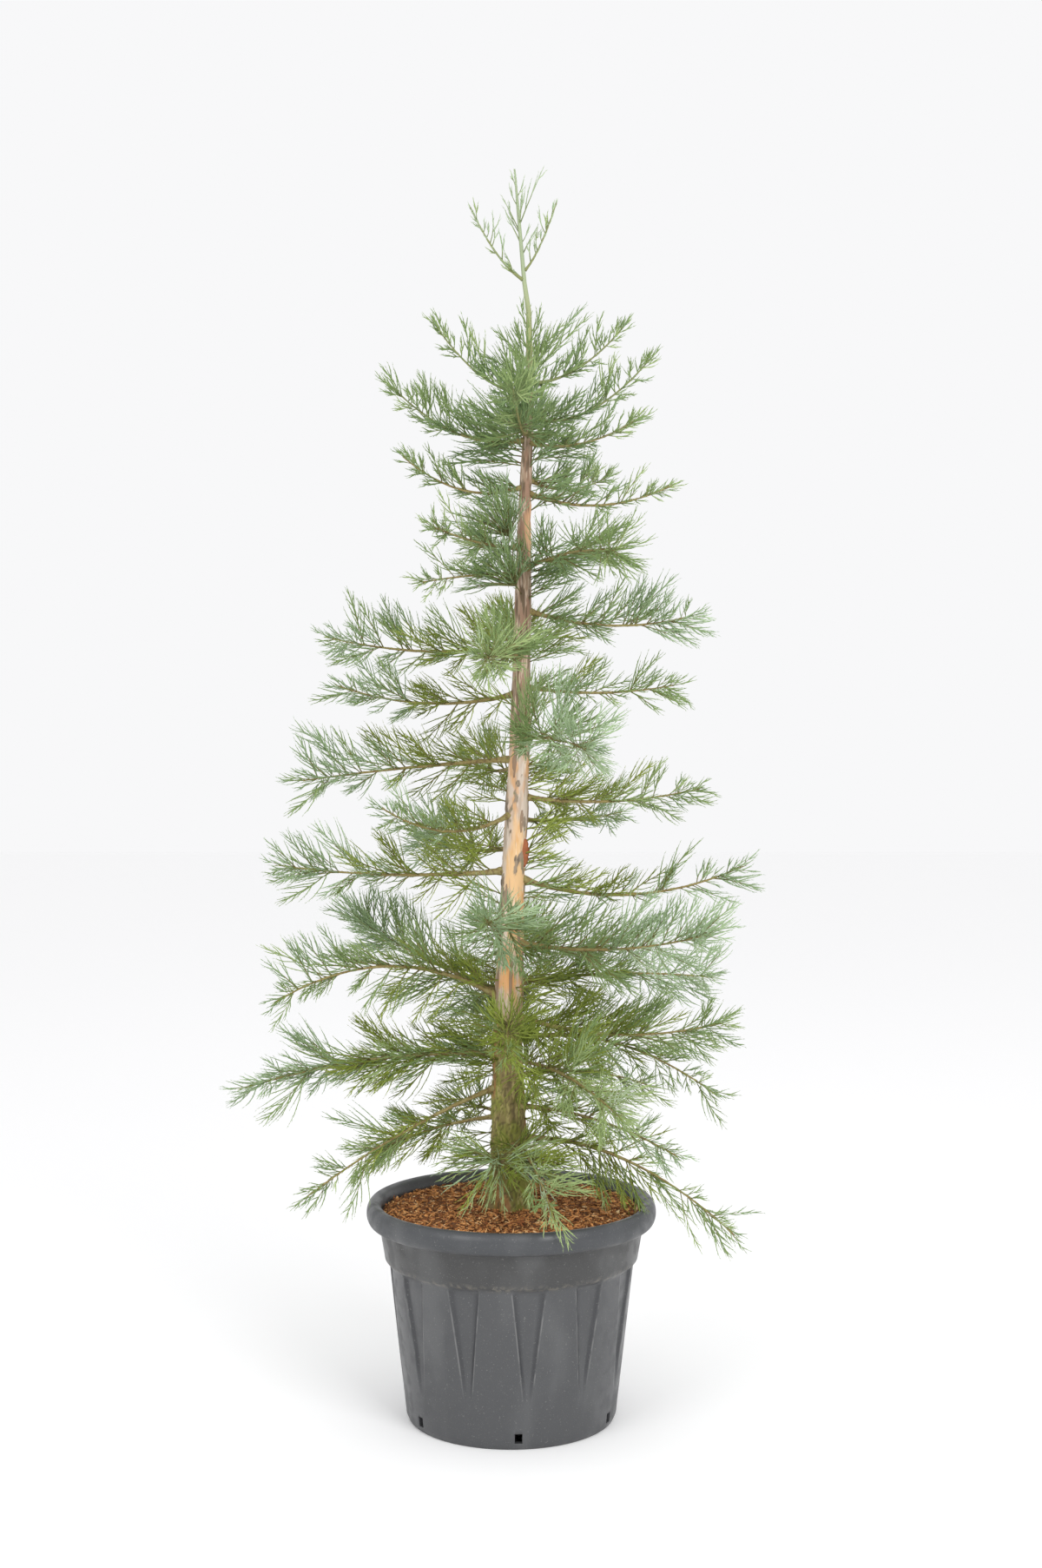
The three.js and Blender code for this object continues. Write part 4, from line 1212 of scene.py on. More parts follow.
def fine_twigs(bough, line, random):
    """Tufts between the long twigs: close and long near the trunk, short and opened wide at the end."""
    clear = trunk_radius(bough.height) / bough.reach + FINE_FIRST
    first = max(bough.bare, clear, FINE_TWIGS_FROM.get(bough.name, 0))
    high = bough.height > HIGH_FROM
    spacing = FINE_SPACING * TUFT_TWIGS * (HIGH_SPACING_SHARE if high else 1)
    tufts = int(bough.reach * (1 - first) / spacing)
    phase = random.uniform(0, 2 * math.pi)
    twigs = []
    for tuft in range(tufts):
        middle = ((tuft + random.uniform(*TUFT_PLACE)) / tufts) ** CLOSER_IN
        side = phase + GOLDEN * tuft
        size = random.uniform(*TUFT_SIZE)
        for _ in range(TUFT_TWIGS):
            share = min(1, max(0, middle + random.normal(0, TUFT_LENGTH / bough.reach)))
            place = first + (FINE_LAST - first) * share
            roll = (side + random.normal(0, FINE_ROLL_SPREAD) + math.pi) % (2 * math.pi) - math.pi
            roll *= HIGH_FINE_ROLL_SHARE if high else FINE_ROLL_SHARE
            inner = 1 + NEAR_TRUNK_GAIN * max(0, 1 - share / NEAR_TRUNK)
            length = twig_length(bough, share) * bough.full * inner * size * random.uniform(*FINE_LENGTH)
            length *= 1 - END_TAPER * float(smooth_step(share, TAPER_FROM, 1.0))
            open_end = float(smooth_step(share, OPEN_FROM, 1.0)) * (HIGH_END_OPEN if high else END_OPEN)
            tighten = random.uniform(*FINE_OPENING) + open_end
            if bough.height > UNDER_FROM:
                under = float(smooth_step(-math.cos(roll), -0.1, 0.6)) * (1 - share)
                length *= 1 - UNDER_SHARE * under
                tighten += TOP_OPEN * max(0, math.cos(roll))
            twigs.append((twig_line(line, place, roll, length, tighten, FINE_LIFT), length, place))
    return twigs


print(f"tufts of {TUFT_TWIGS} twigs, {FINE_SPACING * TUFT_TWIGS:.3f} m apart")

# %% Twigs round the ends and on the bare side
END_TWIGS, HIGH_END_TWIGS, END_LENGTH, END_OPENING = 6, 3, (0.36, 0.58), (0.7, 1.35)
TIP_TWIGS, TIP_LENGTH, TIP_OPENING = 4, (0.28, 0.40), (0.15, 0.6)
STAR_TWIGS, STAR_LENGTH, STAR_OPENING = 14, (0.55, 0.78), (1.0, 1.5)
STARRED = ["tier6_right_front", "tier6_front", "tier8_right_front", "tier8_front", "whorl_front"]
SPARSE_SPACING, SPARSE_LENGTH, SPARSE_OPENING = 0.0135, (0.5, 0.95), 0.95
SPARSE_ROLLS = [-82, -58, -30, 0, 25, 48, 75, 150, 190]


def twigs_in_spiral(line, random, places, size, lengths, opening):
    """Twigs in a spiral at the given places, with length and opening drawn from two ranges."""
    phase = random.uniform(0, 2 * math.pi)
    twigs = []
    for i, place in enumerate(places):
        length = size * random.uniform(*lengths)
        arc = twig_line(line, place, phase + GOLDEN * i, length, random.uniform(*opening))
        twigs.append((arc, length, place))
    return twigs


def end_twigs(bough, line, random):
    """The burst at the end of a bough: a few twigs all round its tip."""
    count = HIGH_END_TWIGS if bough.height > HIGH_FROM else END_TWIGS
    places = [0.80 + 0.14 * i / END_TWIGS for i in range(count)]
    size = bough.twig * bough.full
    return twigs_in_spiral(line, random, places, size, END_LENGTH, END_OPENING)


def tip_twigs(bough, line, random):
    """A tuft that carries the line of a bough on, so that its wood doesn't end bare."""
    places = [0.90 + 0.09 * i / TIP_TWIGS for i in range(TIP_TWIGS)]
    return twigs_in_spiral(line, random, places, bough.twig, TIP_LENGTH, TIP_OPENING)


def star_twigs(bough, line, random):
    """Where a bough points at the viewer: slim straight twigs that stand out round its tip."""
    if bough.name not in STARRED:
        return []
    twigs = []
    for i in range(STAR_TWIGS):
        place = 0.84 + 0.15 * i / STAR_TWIGS
        way = opened(line.heading(place), random.uniform(*STAR_OPENING), GOLDEN * i + random.normal(0, 0.3))
        length = bough.twig * min(1, bough.full) * random.uniform(*STAR_LENGTH)
        root = line.point(place)
        arc = Arc(root, root + way * length / 2, root + way * length + 0.012 * UP)
        twigs.append((arc, length, place))
    return twigs


def sparse_twigs(bough, line, random):
    """The thin row, mostly on the upper side, along the bare stretch of a bough."""
    clear = trunk_radius(bough.height) / bough.reach + 0.03
    count = int(bough.reach * max(0, bough.bare - clear) / SPARSE_SPACING)
    twigs = []
    for i in range(count):
        place = clear + (bough.bare - clear) * (i + random.uniform(0.2, 0.8)) / count
        roll = math.radians(random.choice(SPARSE_ROLLS) + random.normal(0, 10))
        length = bough.twig * random.uniform(*SPARSE_LENGTH)
        twigs.append((twig_line(line, place, roll, length, SPARSE_OPENING), length, place))
    return twigs


print(f"stars on {len(STARRED)} boughs")

# %% Every twig of a bough
LONG_GAP, FINE_GAP, SPARSE_GAP, STAR_GAP, LEADER_GAP = 0.0082, 0.0088, 0.0105, 0.020, 0.034
STOUTER, STOUTER_BETWEEN = 0.35, (1.7, 2.3)
TWIG_RADIUS = 0.0017


def stoutness(bough):
    """Cords are stouter towards the top of the plant."""
    return 1 + STOUTER * float(smooth_step(bough.height, *STOUTER_BETWEEN))


def all_twigs(bough):
    """Every twig of a bough with its tint and with how closely cords stand on it."""
    line = bough_line(bough)
    random = np.random.default_rng(1000 + bough.number)
    stout = stoutness(bough)
    airy = min(1, bough.full + 0.25)
    grown = [((arc, length * airy, place), LONG_GAP) for arc, length, place in long_twigs(bough, line)]
    for gap, kinds in ((FINE_GAP, (fine_twigs, end_twigs)), (SPARSE_GAP, (sparse_twigs, tip_twigs)),
                       (STAR_GAP, (star_twigs,))):
        grown += [(twig, gap) for kind in kinds for twig in kind(bough, line, random)]
    if bough.name.startswith("leader"):
        grown = [(twig, LEADER_GAP) for twig in long_twigs(bough, line) + fine_twigs(bough, line, random)]
    return [
        Twig(arc, length, min(TWIG_RADIUS, 0.5 * bough_radius(bough, place)) * stout,
             spray_tint(bough, place, random), gap * stout, stout)
        for (arc, length, place), gap in grown]


twigs_of = {bough.name: all_twigs(bough) for bough in BOUGHS}
print(f"{sum(map(len, twigs_of.values()))} twigs on {len(twigs_of)} boughs")

# %% [markdown]
# ## Sprays set one by one
#
# A rule makes every tier alike, but a real plant has a denser side, a hanging spray over the rim
# and young shoots straight from the trunk. More random numbers would put them anywhere. So the
# places where this plant is fuller are written down in three tables: shoots on the trunk, fans
# of arched twigs on a short stem, and extra sprays on the boughs. Each is one bent twig, and it
# gets its cords and needles like all the others.

# %% Shoots on the trunk
TRUNK_SHOOTS = {  # for each group of boughs: height, azimuth, climb in degrees, length, tint
    "low": [
        (668, 300, -24, 85, "dark_olive"), (590, 175, -27, 175, "dark_olive"),
        (570, 215, -24, 130, "dark_olive"), (660, 350, -20, 140, "olive"), (640, 5, -24, 150, "olive"),
        (690, 340, -18, 130, "leaf"), (620, 345, -22, 150, "olive"), (675, 15, -16, 150, "dark_olive")],
    "lower": [
        (770, 255, -7, 95, "dark_olive"), (740, 230, -7, 110, "dark_olive"),
        (725, 212, -30, 120, "olive"), (705, 168, -20, 130, "dark_olive"), (800, 185, -2, 150, "olive"),
        (780, 172, -10, 160, "olive"), (815, 195, 6, 140, "leaf"), (765, 190, 2, 160, "olive"),
        (772, 188, -14, 160, "leaf"), (758, 178, -20, 160, "olive"), (745, 196, -12, 150, "leaf"),
        (738, 184, -4, 190, "olive"), (728, 176, -10, 200, "leaf"), (750, 192, -6, 200, "leaf"),
        (742, 168, 0, 190, "olive"), (722, 186, -2, 180, "fresh"), (745, 232, -20, 110, "olive")],
    "tier3": [
        (940, 200, -7, 100, "dark_olive"), (915, 165, -7, 110, "dark_olive"),
        (900, 185, 6, 150, "olive"), (885, 170, 0, 160, "olive"), (870, 195, -8, 150, "leaf"),
        (925, 188, -4, 140, "olive"), (900, 350, 4, 140, "olive"), (880, 10, 0, 150, "dark_olive"),
        (865, 335, -4, 130, "olive"), (925, 0, 8, 130, "leaf"), (890, 300, -10, 110, "olive"),
        (870, 320, -16, 120, "olive"), (910, 345, -8, 130, "dark_olive"),
        (905, 215, -12, 120, "olive")],
    "tier4": [
        (1165, 335, -7, 75, "olive"), (1150, 25, -7, 90, "olive"), (1072, 345, -7, 85, "dark_olive"),
        (1040, 190, -7, 80, "olive"), (1186, 355, 20, 110, "olive"), (1164, 10, 25, 120, "dark_olive"),
        (1078, 182, 10, 140, "olive"), (1140, 0, 4, 90, "olive"), (1155, 6, 22, 120, "olive"),
        (1058, 186, 12, 175, "olive"), (1128, 350, 4, 110, "leaf"), (1100, 340, -10, 120, "leaf"),
        (1085, 0, -16, 120, "blue_green")],
    "tier5": [
        (1345, 20, 17, 80, "olive"), (1318, 340, 17, 85, "dark_olive"), (1215, 5, -7, 90, "olive"),
        (1292, 195, 4, 110, "dark_olive"), (1272, 176, -4, 100, "olive"), (1302, 350, 14, 75, "olive"),
        (1330, 350, -6, 110, "leaf"), (1320, 5, -14, 110, "leaf"), (1345, 335, 0, 110, "silver"),
        (1310, 345, 10, 100, "olive"), (1335, 10, 2, 110, "leaf"), (1300, 0, -18, 110, "olive"),
        (1350, 355, -20, 110, "leaf")],
    "tier6": [
        (1645, 2, 17, 120, "leaf"), (1618, 340, 17, 125, "leaf"), (1590, 15, 17, 120, "olive"),
        (1565, 352, 17, 105, "dark_olive"), (1470, 200, 17, 80, "olive"), (1455, 335, 17, 70, "olive"),
        (1602, 355, -6, 130, "olive"), (1582, 8, -10, 125, "leaf"), (1600, 312, 8, 130, "leaf"),
        (1582, 325, 14, 130, "fresh"), (1560, 340, 6, 120, "leaf")],
    "tier7": [
        (1728, 348, 17, 95, "deep"), (1705, 18, 17, 100, "leaf"), (1690, 320, 17, 80, "leaf"),
        (1700, 5, 9, 105, "leaf"), (1745, 0, 4, 110, "deep"), (1735, 330, -6, 95, "leaf"),
        (1752, 350, -18, 110, "deep"), (1720, 5, 14, 100, "leaf"), (1712, 335, 18, 100, "deep")],
    "tier8": [
        (1900, 205, 17, 95, "deep"), (1890, 335, 17, 105, "deep"), (1872, 12, 17, 110, "leaf"),
        (1855, 175, 17, 90, "deep"), (1895, 186, 6, 85, "deep"), (1866, 190, 6, 125, "deep"),
        (1775, 350, 8, 100, "deep"), (1765, 10, 0, 110, "leaf"), (1768, 355, -12, 110, "leaf")],
    "tier9": [
        (1990, 195, 17, 105, "deep"), (1982, 345, 17, 110, "deep"), (1996, 232, 17, 95, "deep"),
        (1974, 20, 17, 100, "deep"), (1968, 168, 17, 105, "leaf"), (1960, 310, 17, 95, "deep"),
        (1985, 182, -10, 155, "deep"), (1966, 190, -10, 165, "deep"), (1972, 172, -10, 170, "leaf"),
        (1978, 5, -8, 130, "deep"), (2000, 178, -14, 150, "deep"), (1990, 2, -12, 130, "leaf")],
    "crest": [
        (2140, 168, 22, 125, "leaf"), (2125, 190, 14, 120, "deep"), (2175, 150, 40, 110, "leaf"),
        (2162, 12, 47, 178, "deep"), (2148, 348, 40, 170, "leaf"), (2178, 30, 44, 120, "fresh")],
    "leader": [
        (2462, 2, 66, 118, "pale"), (2448, 176, 62, 70, "pale"), (2400, 15, 60, 62, "pale"),
        (2425, 200, 58, 52, "pale")],
}
print(f"{sum(map(len, TRUNK_SHOOTS.values()))} shoots on the trunk")

# %% Fans of arched twigs
FANS = [  # boughs it stands among; height, azimuth, climb and length of its stem; twigs and their
    # length; the azimuths and climbs that they fan out over; how far those in front sink; tints
    ("low", 560, 262, -12, 116, 52, 134, (160, 386), (-26, 18), 30, ("fresh", "fresh", "silver", "olive")),
    ("tier7", 1700, 255, 6, 66, 30, 130, (150, 285), (-16, 46), -14, ("leaf", "blue_green")),
    ("tier8", 1796, 246, 6, 84, 32, 124, (140, 292), (-8, 56), -20, ("leaf", "blue_green")),
]
print(f"{len(FANS)} fans")

# %% Sprays on the boughs
SPRAYS = {  # for each bough: percent of the way along it, azimuth, climb in degrees, length, tint
    "low_front": [
        (50, 340, -14, 115, "olive"), (64, 350, -18, 110, "fresh"), (78, 345, -12, 100, "fresh"),
        (40, 5, -10, 120, "olive")],
    "low_right": [
        (79, 350, -58, 105, "leaf"), (86, 345, -64, 105, "leaf"), (62, 335, -50, 110, "leaf"),
        (52, 320, -45, 110, "olive"), (28, 30, -28, 120, "dark_olive"), (30, 300, -50, 130, "olive"),
        (36, 290, -55, 135, "fresh"), (42, 300, -52, 135, "olive"), (48, 310, -55, 130, "leaf"),
        (34, 315, -45, 130, "fresh"), (45, 285, -46, 130, "olive"), (22, 320, -36, 130, "olive"),
        (40, 285, -62, 120, "olive"), (52, 300, -62, 120, "olive")],
    "low_left_twig": [
        (50, 150, -28, 110, "olive"), (72, 160, -24, 110, "olive"), (40, 165, -32, 110, "leaf"),
        (60, 155, -34, 100, "olive"), (55, 190, -48, 115, "olive"), (70, 185, -44, 110, "leaf"),
        (80, 175, -50, 100, "olive"), (90, 200, -46, 90, "leaf")],
    "low_front_right": [
        (40, 300, -30, 110, "olive"), (55, 290, -35, 110, "olive"), (30, 330, -30, 115, "olive")],
    "low_left_droop": [
        (40, 185, -44, 115, "olive"), (46, 200, -48, 115, "leaf"), (53, 190, -52, 110, "leaf"),
        (60, 210, -50, 105, "olive")],
    "lower_left": [
        (34, 175, -22, 120, "leaf"), (44, 190, -26, 120, "olive"), (54, 170, -20, 110, "leaf"),
        (36, 230, 10, 105, "fresh"), (44, 250, 5, 100, "fresh"), (26, 185, -24, 115, "olive"),
        (62, 195, -18, 100, "blue_green"), (50, 205, -30, 110, "leaf"), (40, 165, -12, 120, "olive"),
        (76, 190, -14, 95, "blue_green"), (70, 170, -24, 100, "leaf"), (22, 195, -30, 120, "olive"),
        (30, 205, -36, 120, "leaf"), (38, 180, -34, 120, "olive"), (47, 185, -36, 115, "leaf"),
        (57, 190, -34, 110, "blue_green"), (66, 180, -30, 105, "blue_green"),
        (80, 200, -22, 90, "blue_green"), (28, 215, -8, 115, "leaf"), (25, 200, -40, 125, "leaf"),
        (33, 195, -42, 125, "olive"), (37, 215, -30, 120, "fresh"), (41, 175, -46, 120, "leaf"),
        (45, 205, -44, 115, "olive")],
    "lower_right": [
        (30, 350, -50, 120, "leaf"), (42, 345, -54, 115, "blue_green"), (45, 340, -20, 115, "leaf")],
    "tier3_right": [
        (25, 0, 40, 120, "olive"), (35, 340, 45, 115, "leaf"), (45, 350, 40, 115, "leaf"),
        (55, 330, 38, 110, "leaf")],
    "tier3_left": [
        (20, 205, -52, 110, "olive"), (28, 185, -60, 120, "olive"), (36, 215, -50, 120, "leaf"),
        (43, 190, -62, 125, "olive"), (50, 210, -55, 110, "leaf"), (30, 185, 34, 110, "olive"),
        (80, 170, 40, 95, "blue_green"), (90, 180, 34, 85, "blue_green"), (50, 180, 10, 110, "leaf"),
        (58, 195, 6, 110, "leaf"), (68, 175, 52, 110, "blue_green"), (76, 185, 50, 105, "blue_green"),
        (84, 170, 55, 100, "blue_green")],
    "tier3_left_back": [
        (62, 168, 26, 110, "blue_green"), (75, 175, 18, 100, "blue_green"),
        (86, 172, 42, 95, "blue_green"), (96, 150, 40, 100, "blue_green"),
        (80, 190, 20, 110, "blue_green"), (90, 200, 30, 105, "silver"), (95, 175, 12, 90, "blue_green"),
        (70, 195, 10, 110, "blue_green"), (85, 180, 46, 100, "silver"),
        (80, 120, 70, 100, "blue_green"), (88, 90, 76, 95, "blue_green"), (72, 100, 66, 105, "silver"),
        (94, 60, 72, 90, "blue_green"), (84, 30, 62, 90, "blue_green"), (66, 140, 62, 105, "leaf")],
    "tier3_right_back": [
        (94, 8, 40, 90, "silver")],
    "tier4_right_front": [
        (88, 350, 6, 110, "silver"), (78, 0, 14, 115, "silver"), (94, 345, 38, 100, "silver"),
        (88, 0, 44, 105, "silver"), (50, 340, 30, 120, "silver"), (58, 330, 36, 120, "blue_green"),
        (66, 345, 32, 115, "silver"), (70, 0, 60, 110, "silver"), (76, 340, 64, 105, "blue_green"),
        (82, 10, 58, 100, "silver")],
    "tier4_front": [
        (50, 345, 4, 115, "blue_green"), (65, 340, 16, 115, "silver"), (78, 350, -8, 110, "blue_green"),
        (88, 335, 8, 110, "silver")],
    "tier4_right": [
        (86, 352, -22, 100, "blue_green")],
    "tier4_left": [
        (84, 178, 46, 95, "blue_green"), (92, 186, 38, 80, "blue_green"),
        (72, 185, -18, 100, "blue_green"), (80, 175, -22, 95, "blue_green"),
        (78, 180, 44, 100, "blue_green")],
    "tier5_left": [
        (78, 175, 40, 100, "blue_green"), (88, 185, 34, 90, "blue_green"), (72, 185, 55, 105, "leaf"),
        (82, 180, 60, 105, "blue_green"), (92, 175, 62, 95, "blue_green"),
        (38, 180, 34, 110, "dark_olive"), (46, 185, 38, 110, "olive")],
    "tier6_right_front": [
        (42, 235, -10, 105, "leaf"), (54, 225, -24, 105, "silver"), (66, 240, -32, 100, "leaf"),
        (60, 215, 4, 95, "leaf"), (30, 250, -20, 100, "leaf"), (76, 225, -10, 95, "leaf")],
    "tier6_right": [
        (82, 350, -34, 85, "leaf"), (92, 5, -40, 70, "leaf"), (25, 10, 35, 110, "olive"),
        (70, 352, -42, 75, "leaf")],
    "tier6_front": [
        (50, 345, 10, 115, "leaf"), (62, 350, 20, 110, "fresh"), (74, 340, 6, 100, "leaf"),
        (84, 350, 14, 100, "fresh"), (56, 330, 0, 105, "leaf")],
    "tier7_left": [
        (50, 170, 58, 115, "deep"), (60, 160, 66, 120, "deep"), (70, 175, 60, 110, "leaf"),
        (80, 165, 72, 120, "leaf"), (20, 190, -20, 100, "deep"), (30, 182, -24, 95, "leaf")],
    "tier7_right": [
        (60, 0, 50, 95, "blue_green"), (72, 10, 48, 90, "blue_green"), (68, 350, -30, 95, "blue_green"),
        (85, 355, -28, 85, "blue_green"), (50, 5, 42, 110, "leaf"), (65, 350, 60, 95, "blue_green"),
        (76, 10, -34, 100, "blue_green"), (45, 350, 60, 110, "leaf"), (58, 5, 62, 110, "blue_green")],
    "tier8_right_front": [
        (40, 340, -20, 100, "deep"), (50, 350, -24, 100, "leaf"), (62, 355, -30, 95, "leaf"),
        (74, 350, -26, 90, "deep"), (86, 345, -34, 85, "leaf")],
}
print(f"{sum(map(len, SPRAYS.values()))} sprays set one by one")

# %% Twigs from the tables
SHOOT_BEND = 0.35
SHOOT_RADIUS, SHOOT_STOUTNESS = 0.0014, 1.05
LONGEST_FEATHER = 0.10
SHOOT_GAP, FAN_GAP = 0.0095, 0.021
UNDER_BARK = 0.6  # a stem starts this share of the way out to the trunk's skin


def placed_twig(root, azimuth, climb, length, tint, gap=SHOOT_GAP):
    """A twig that sets out steeper than it goes on. Angles in degrees, length in millimetres."""
    sideways, length = level_way(math.radians(azimuth)), length * MM
    rise = math.tan(math.radians(climb))
    middle = root + unit(sideways + (rise + SHOOT_BEND) * UP) * length / 2
    arc = Arc(root, middle, middle + unit(sideways + rise * UP) * length / 2)
    feather = min(length, LONGEST_FEATHER)
    return Twig(
        arc, feather, SHOOT_RADIUS, TINT_NAMES.index(tint), gap * feather / length, SHOOT_STOUTNESS)


def trunk_side(height, azimuth):
    """A point inside the trunk, on the side that a stem leaves it."""
    radius = trunk_radius(height * MM) * UNDER_BARK
    return trunk_point(height * MM) + level_way(math.radians(azimuth)) * radius


def trunk_shoots(group):
    """Short twigs that grow straight from the trunk among the boughs of a group."""
    gap = LEADER_GAP if group == "leader" else SHOOT_GAP
    return [
        placed_twig(trunk_side(height, azimuth), azimuth, *rest, gap)
        for height, azimuth, *rest in TRUNK_SHOOTS.get(group, [])]


def fans(group):
    """A short stem from the trunk, and round its end a fan of slim twigs that arch over."""
    random = np.random.default_rng(77)
    grown = []
    for name, height, azimuth, climb, reach, count, length, spread, climbs, sag, tints in FANS:
        if name != group:
            continue
        stem = placed_twig(trunk_side(height, azimuth), azimuth, climb, reach, tints[0], FAN_GAP)
        grown.append(stem)
        for i in range(count):
            root = stem.line.point(0.70 + 0.30 * i / count)
            side = random.uniform(*spread)
            rise = random.uniform(*climbs) + sag * min(0, math.sin(math.radians(side)))
            reach_out = length * random.uniform(0.7, 1.1)
            grown.append(placed_twig(root, side, rise, reach_out, tints[i % len(tints)], FAN_GAP))
    return grown


def sprays(bough):
    """Twigs set one by one where a bough carries more than its rule gives."""
    line = bough_line(bough)
    return [placed_twig(line.point(percent / 100), *rest) for percent, *rest in SPRAYS.get(bough.name, [])]


from_trunk = sum(len(trunk_shoots(group) + fans(group)) for group in TRUNK_SHOOTS)
print(f"{from_trunk} twigs from the trunk, fans included")

# %% [markdown]
# ## Cords and needles
#
# A twig carries a feather of cords, and a cord is clad in awl needles a few millimetres long.
# Real cords number tens of thousands, so instances would be the usual choice, but they are lost
# in the export. Here all the cords of a zone are worked out together as arrays: three-sided
# tubes that taper to a point, and on each a spiral of needles. A needle is a closed sliver of
# four faces: a flat inner side and a keel. Each spray is dealt one plain tint.

# %% Cords of a twig
# A cord opens wide from its twig, bends in towards it and lifts its end.
CORD_OPEN, CORD_CLOSE, CORD_LIFT = math.radians(31), math.radians(9), 0.25
CORD_SHARE, CORD_FALL = 0.80, 0.85  # its length as a share of the twig's, and how that falls off
CORD_FIRST, CORD_RUN = 0.05, 0.88  # where on the twig the first stands, and how far they go on
CORD_LEAST, CORD_WAVER = 0.020, 0.07
CORD_RADIUS = 0.0012
LAST_FROM, LAST_MIDDLE, LAST_BEYOND = 0.62, 0.85, 0.012  # of the cord that carries the twig on
ROOM_BEYOND = 0.024  # how far a tip may pass the plant's box

Cords = namedtuple("Cords", "root middle tip radius tint stout")


def cords_of(twig, random):
    """The cords on one twig, in a spiral, longest near its root, and one that carries the twig on."""
    count = max(1, round(twig.length / twig.spacing))
    place = CORD_FIRST + CORD_RUN * (np.arange(count) + random.uniform(0.2, 0.8, count)) / count
    roll = random.uniform(0, 2 * np.pi) + GOLDEN * np.arange(count) + random.normal(0, 0.2, count)
    root, along = twig.line.point(place), twig.line.heading(place)
    length = twig.length * CORD_SHARE * (1.12 - place) ** CORD_FALL * random.uniform(0.72, 1.15, count)
    length = np.maximum(CORD_LEAST, length)[:, None]
    waver = random.normal(0, CORD_WAVER, (count, 3))
    end = unit(opened(along, CORD_CLOSE, roll) + CORD_LIFT * UP + waver)
    middle = root + opened(along, CORD_OPEN, roll) * length / 2
    tip = middle + end * length / 2
    last, last_middle, end = twig.line.point([LAST_FROM, LAST_MIDDLE, 1.0])[:, None]
    root, middle = np.vstack([root, last]), np.vstack([middle, last_middle])
    tip = np.vstack([tip, end + twig.line.heading([1.0]) * LAST_BEYOND])
    radius = np.full(count + 1, CORD_RADIUS * twig.stout) * random.uniform(0.85, 1.15, count + 1)
    tint, stout = np.full(count + 1, twig.tint), np.full(count + 1, twig.stout)
    return Cords(root, middle, tip, radius, tint, stout)


def joined_cords(groups):
    """The cords of many twigs as one set of arrays, without those that would leave the plant's box."""
    cords = Cords(*[np.concatenate(column) for column in zip(*groups)])
    low, high = np.array(cad_box[0]) - ROOM_BEYOND, np.array(cad_box[1]) + ROOM_BEYOND
    inside = np.all((cords.tip > low) & (cords.tip < high), axis=1)
    return Cords(*[column[inside] for column in cords])


print(f"cords are {CORD_RADIUS * 2000:.1f} mm thick and at least {CORD_LEAST * 1000:.0f} mm long")

# %% Needles on the cords
NEEDLE_GAP = 0.0092  # along the cord
NEEDLE_LENGTH, NEEDLE_WIDTH = 0.0080, 0.0016
NEEDLE_OPEN = math.radians(19)
NEEDLES_LEAST, NEEDLES_MOST = 3, 13
LONG_CORD = 0.055  # from this length on a cord takes one more ring
LONG_CORD_RINGS, SHORT_CORD_RINGS = np.array([0.0, 0.36, 0.7, 1.0]), np.array([0.0, 0.5, 1.0])
NEEDLE_FACES = np.array([[0, 1, 3], [1, 2, 3], [2, 0, 3], [0, 2, 1]])


def needles(root, along, roll, length, width):
    """Closed slivers: two corners across, one on the keel, and the tip."""
    out = opened(along, math.pi / 2, roll)
    across = np.cross(along, out)
    length, width = length[:, None], width[:, None]
    tip = root + (along * math.cos(NEEDLE_OPEN) + out * math.sin(NEEDLE_OPEN)) * length
    keel = root + out * width * 0.75 + along * length * 0.12
    points = np.stack([root + across * width / 2, root - across * width / 2, keel, tip], 1)
    faces = NEEDLE_FACES[None] + 4 * np.arange(len(root))[:, None, None]
    return points.reshape(-1, 3), faces.reshape(-1, 3)


def cord_tubes(cords, share):
    """Tapering tubes along the cords, with a point at each share of their length."""
    arc = Arc(cords.root[:, None], cords.middle[:, None], cords.tip[:, None])
    taper = 1 - 0.35 * share[:-1]
    points, faces = pointed_tubes(arc.point(share[None]), cords.radius[:, None] * taper)
    return points, faces, np.repeat(cords.tint, len(faces) // len(cords.tint))


def clad_cords(cords, random):
    """Tubes of the cords with their needles: points, faces and a tint for each face."""
    length = np.linalg.norm(cords.tip - cords.root, axis=1)
    is_long = length > LONG_CORD
    parts = [
        cord_tubes(Cords(*[column[kept] for column in cords]), rings)
        for kept, rings in ((is_long, LONG_CORD_RINGS), (~is_long, SHORT_CORD_RINGS))]
    count = np.clip(np.round(length / NEEDLE_GAP), NEEDLES_LEAST, NEEDLES_MOST).astype(int)
    owner = np.repeat(np.arange(len(count)), count)
    local = np.concatenate([np.arange(one) for one in count])
    place = (local + random.uniform(0.25, 0.75, len(owner))) / count[owner]
    line = Arc(cords.root[owner], cords.middle[owner], cords.tip[owner])
    roll = GOLDEN * local + owner
    size = cords.stout[owner] * random.uniform(0.8, 1.2, len(owner)) * (1 - 0.25 * place)
    needle_points, needle_faces = needles(
        line.point(place), line.heading(place), roll, NEEDLE_LENGTH * size, NEEDLE_WIDTH * size)
    parts.append((needle_points, needle_faces, np.repeat(cords.tint[owner], len(NEEDLE_FACES))))
    points, faces = join([part[:2] for part in parts])
    return points, faces, np.concatenate([part[2] for part in parts])


print(f"needles are {NEEDLE_LENGTH * 1000:.0f} mm long, one for each {NEEDLE_GAP * 1000:.1f} mm of cord")

# %% Finish of needles and twigs
def needle_finish(name, colour):
    """Waxy needles: one plain colour, a little less dull in patches."""
    finish = Finish(f"needles {name.replace('_', ' ')}", colour, 0.6)
    finish.gloss(60, 0.35, 0.7, 0.5, 0.72)
    return finish.material


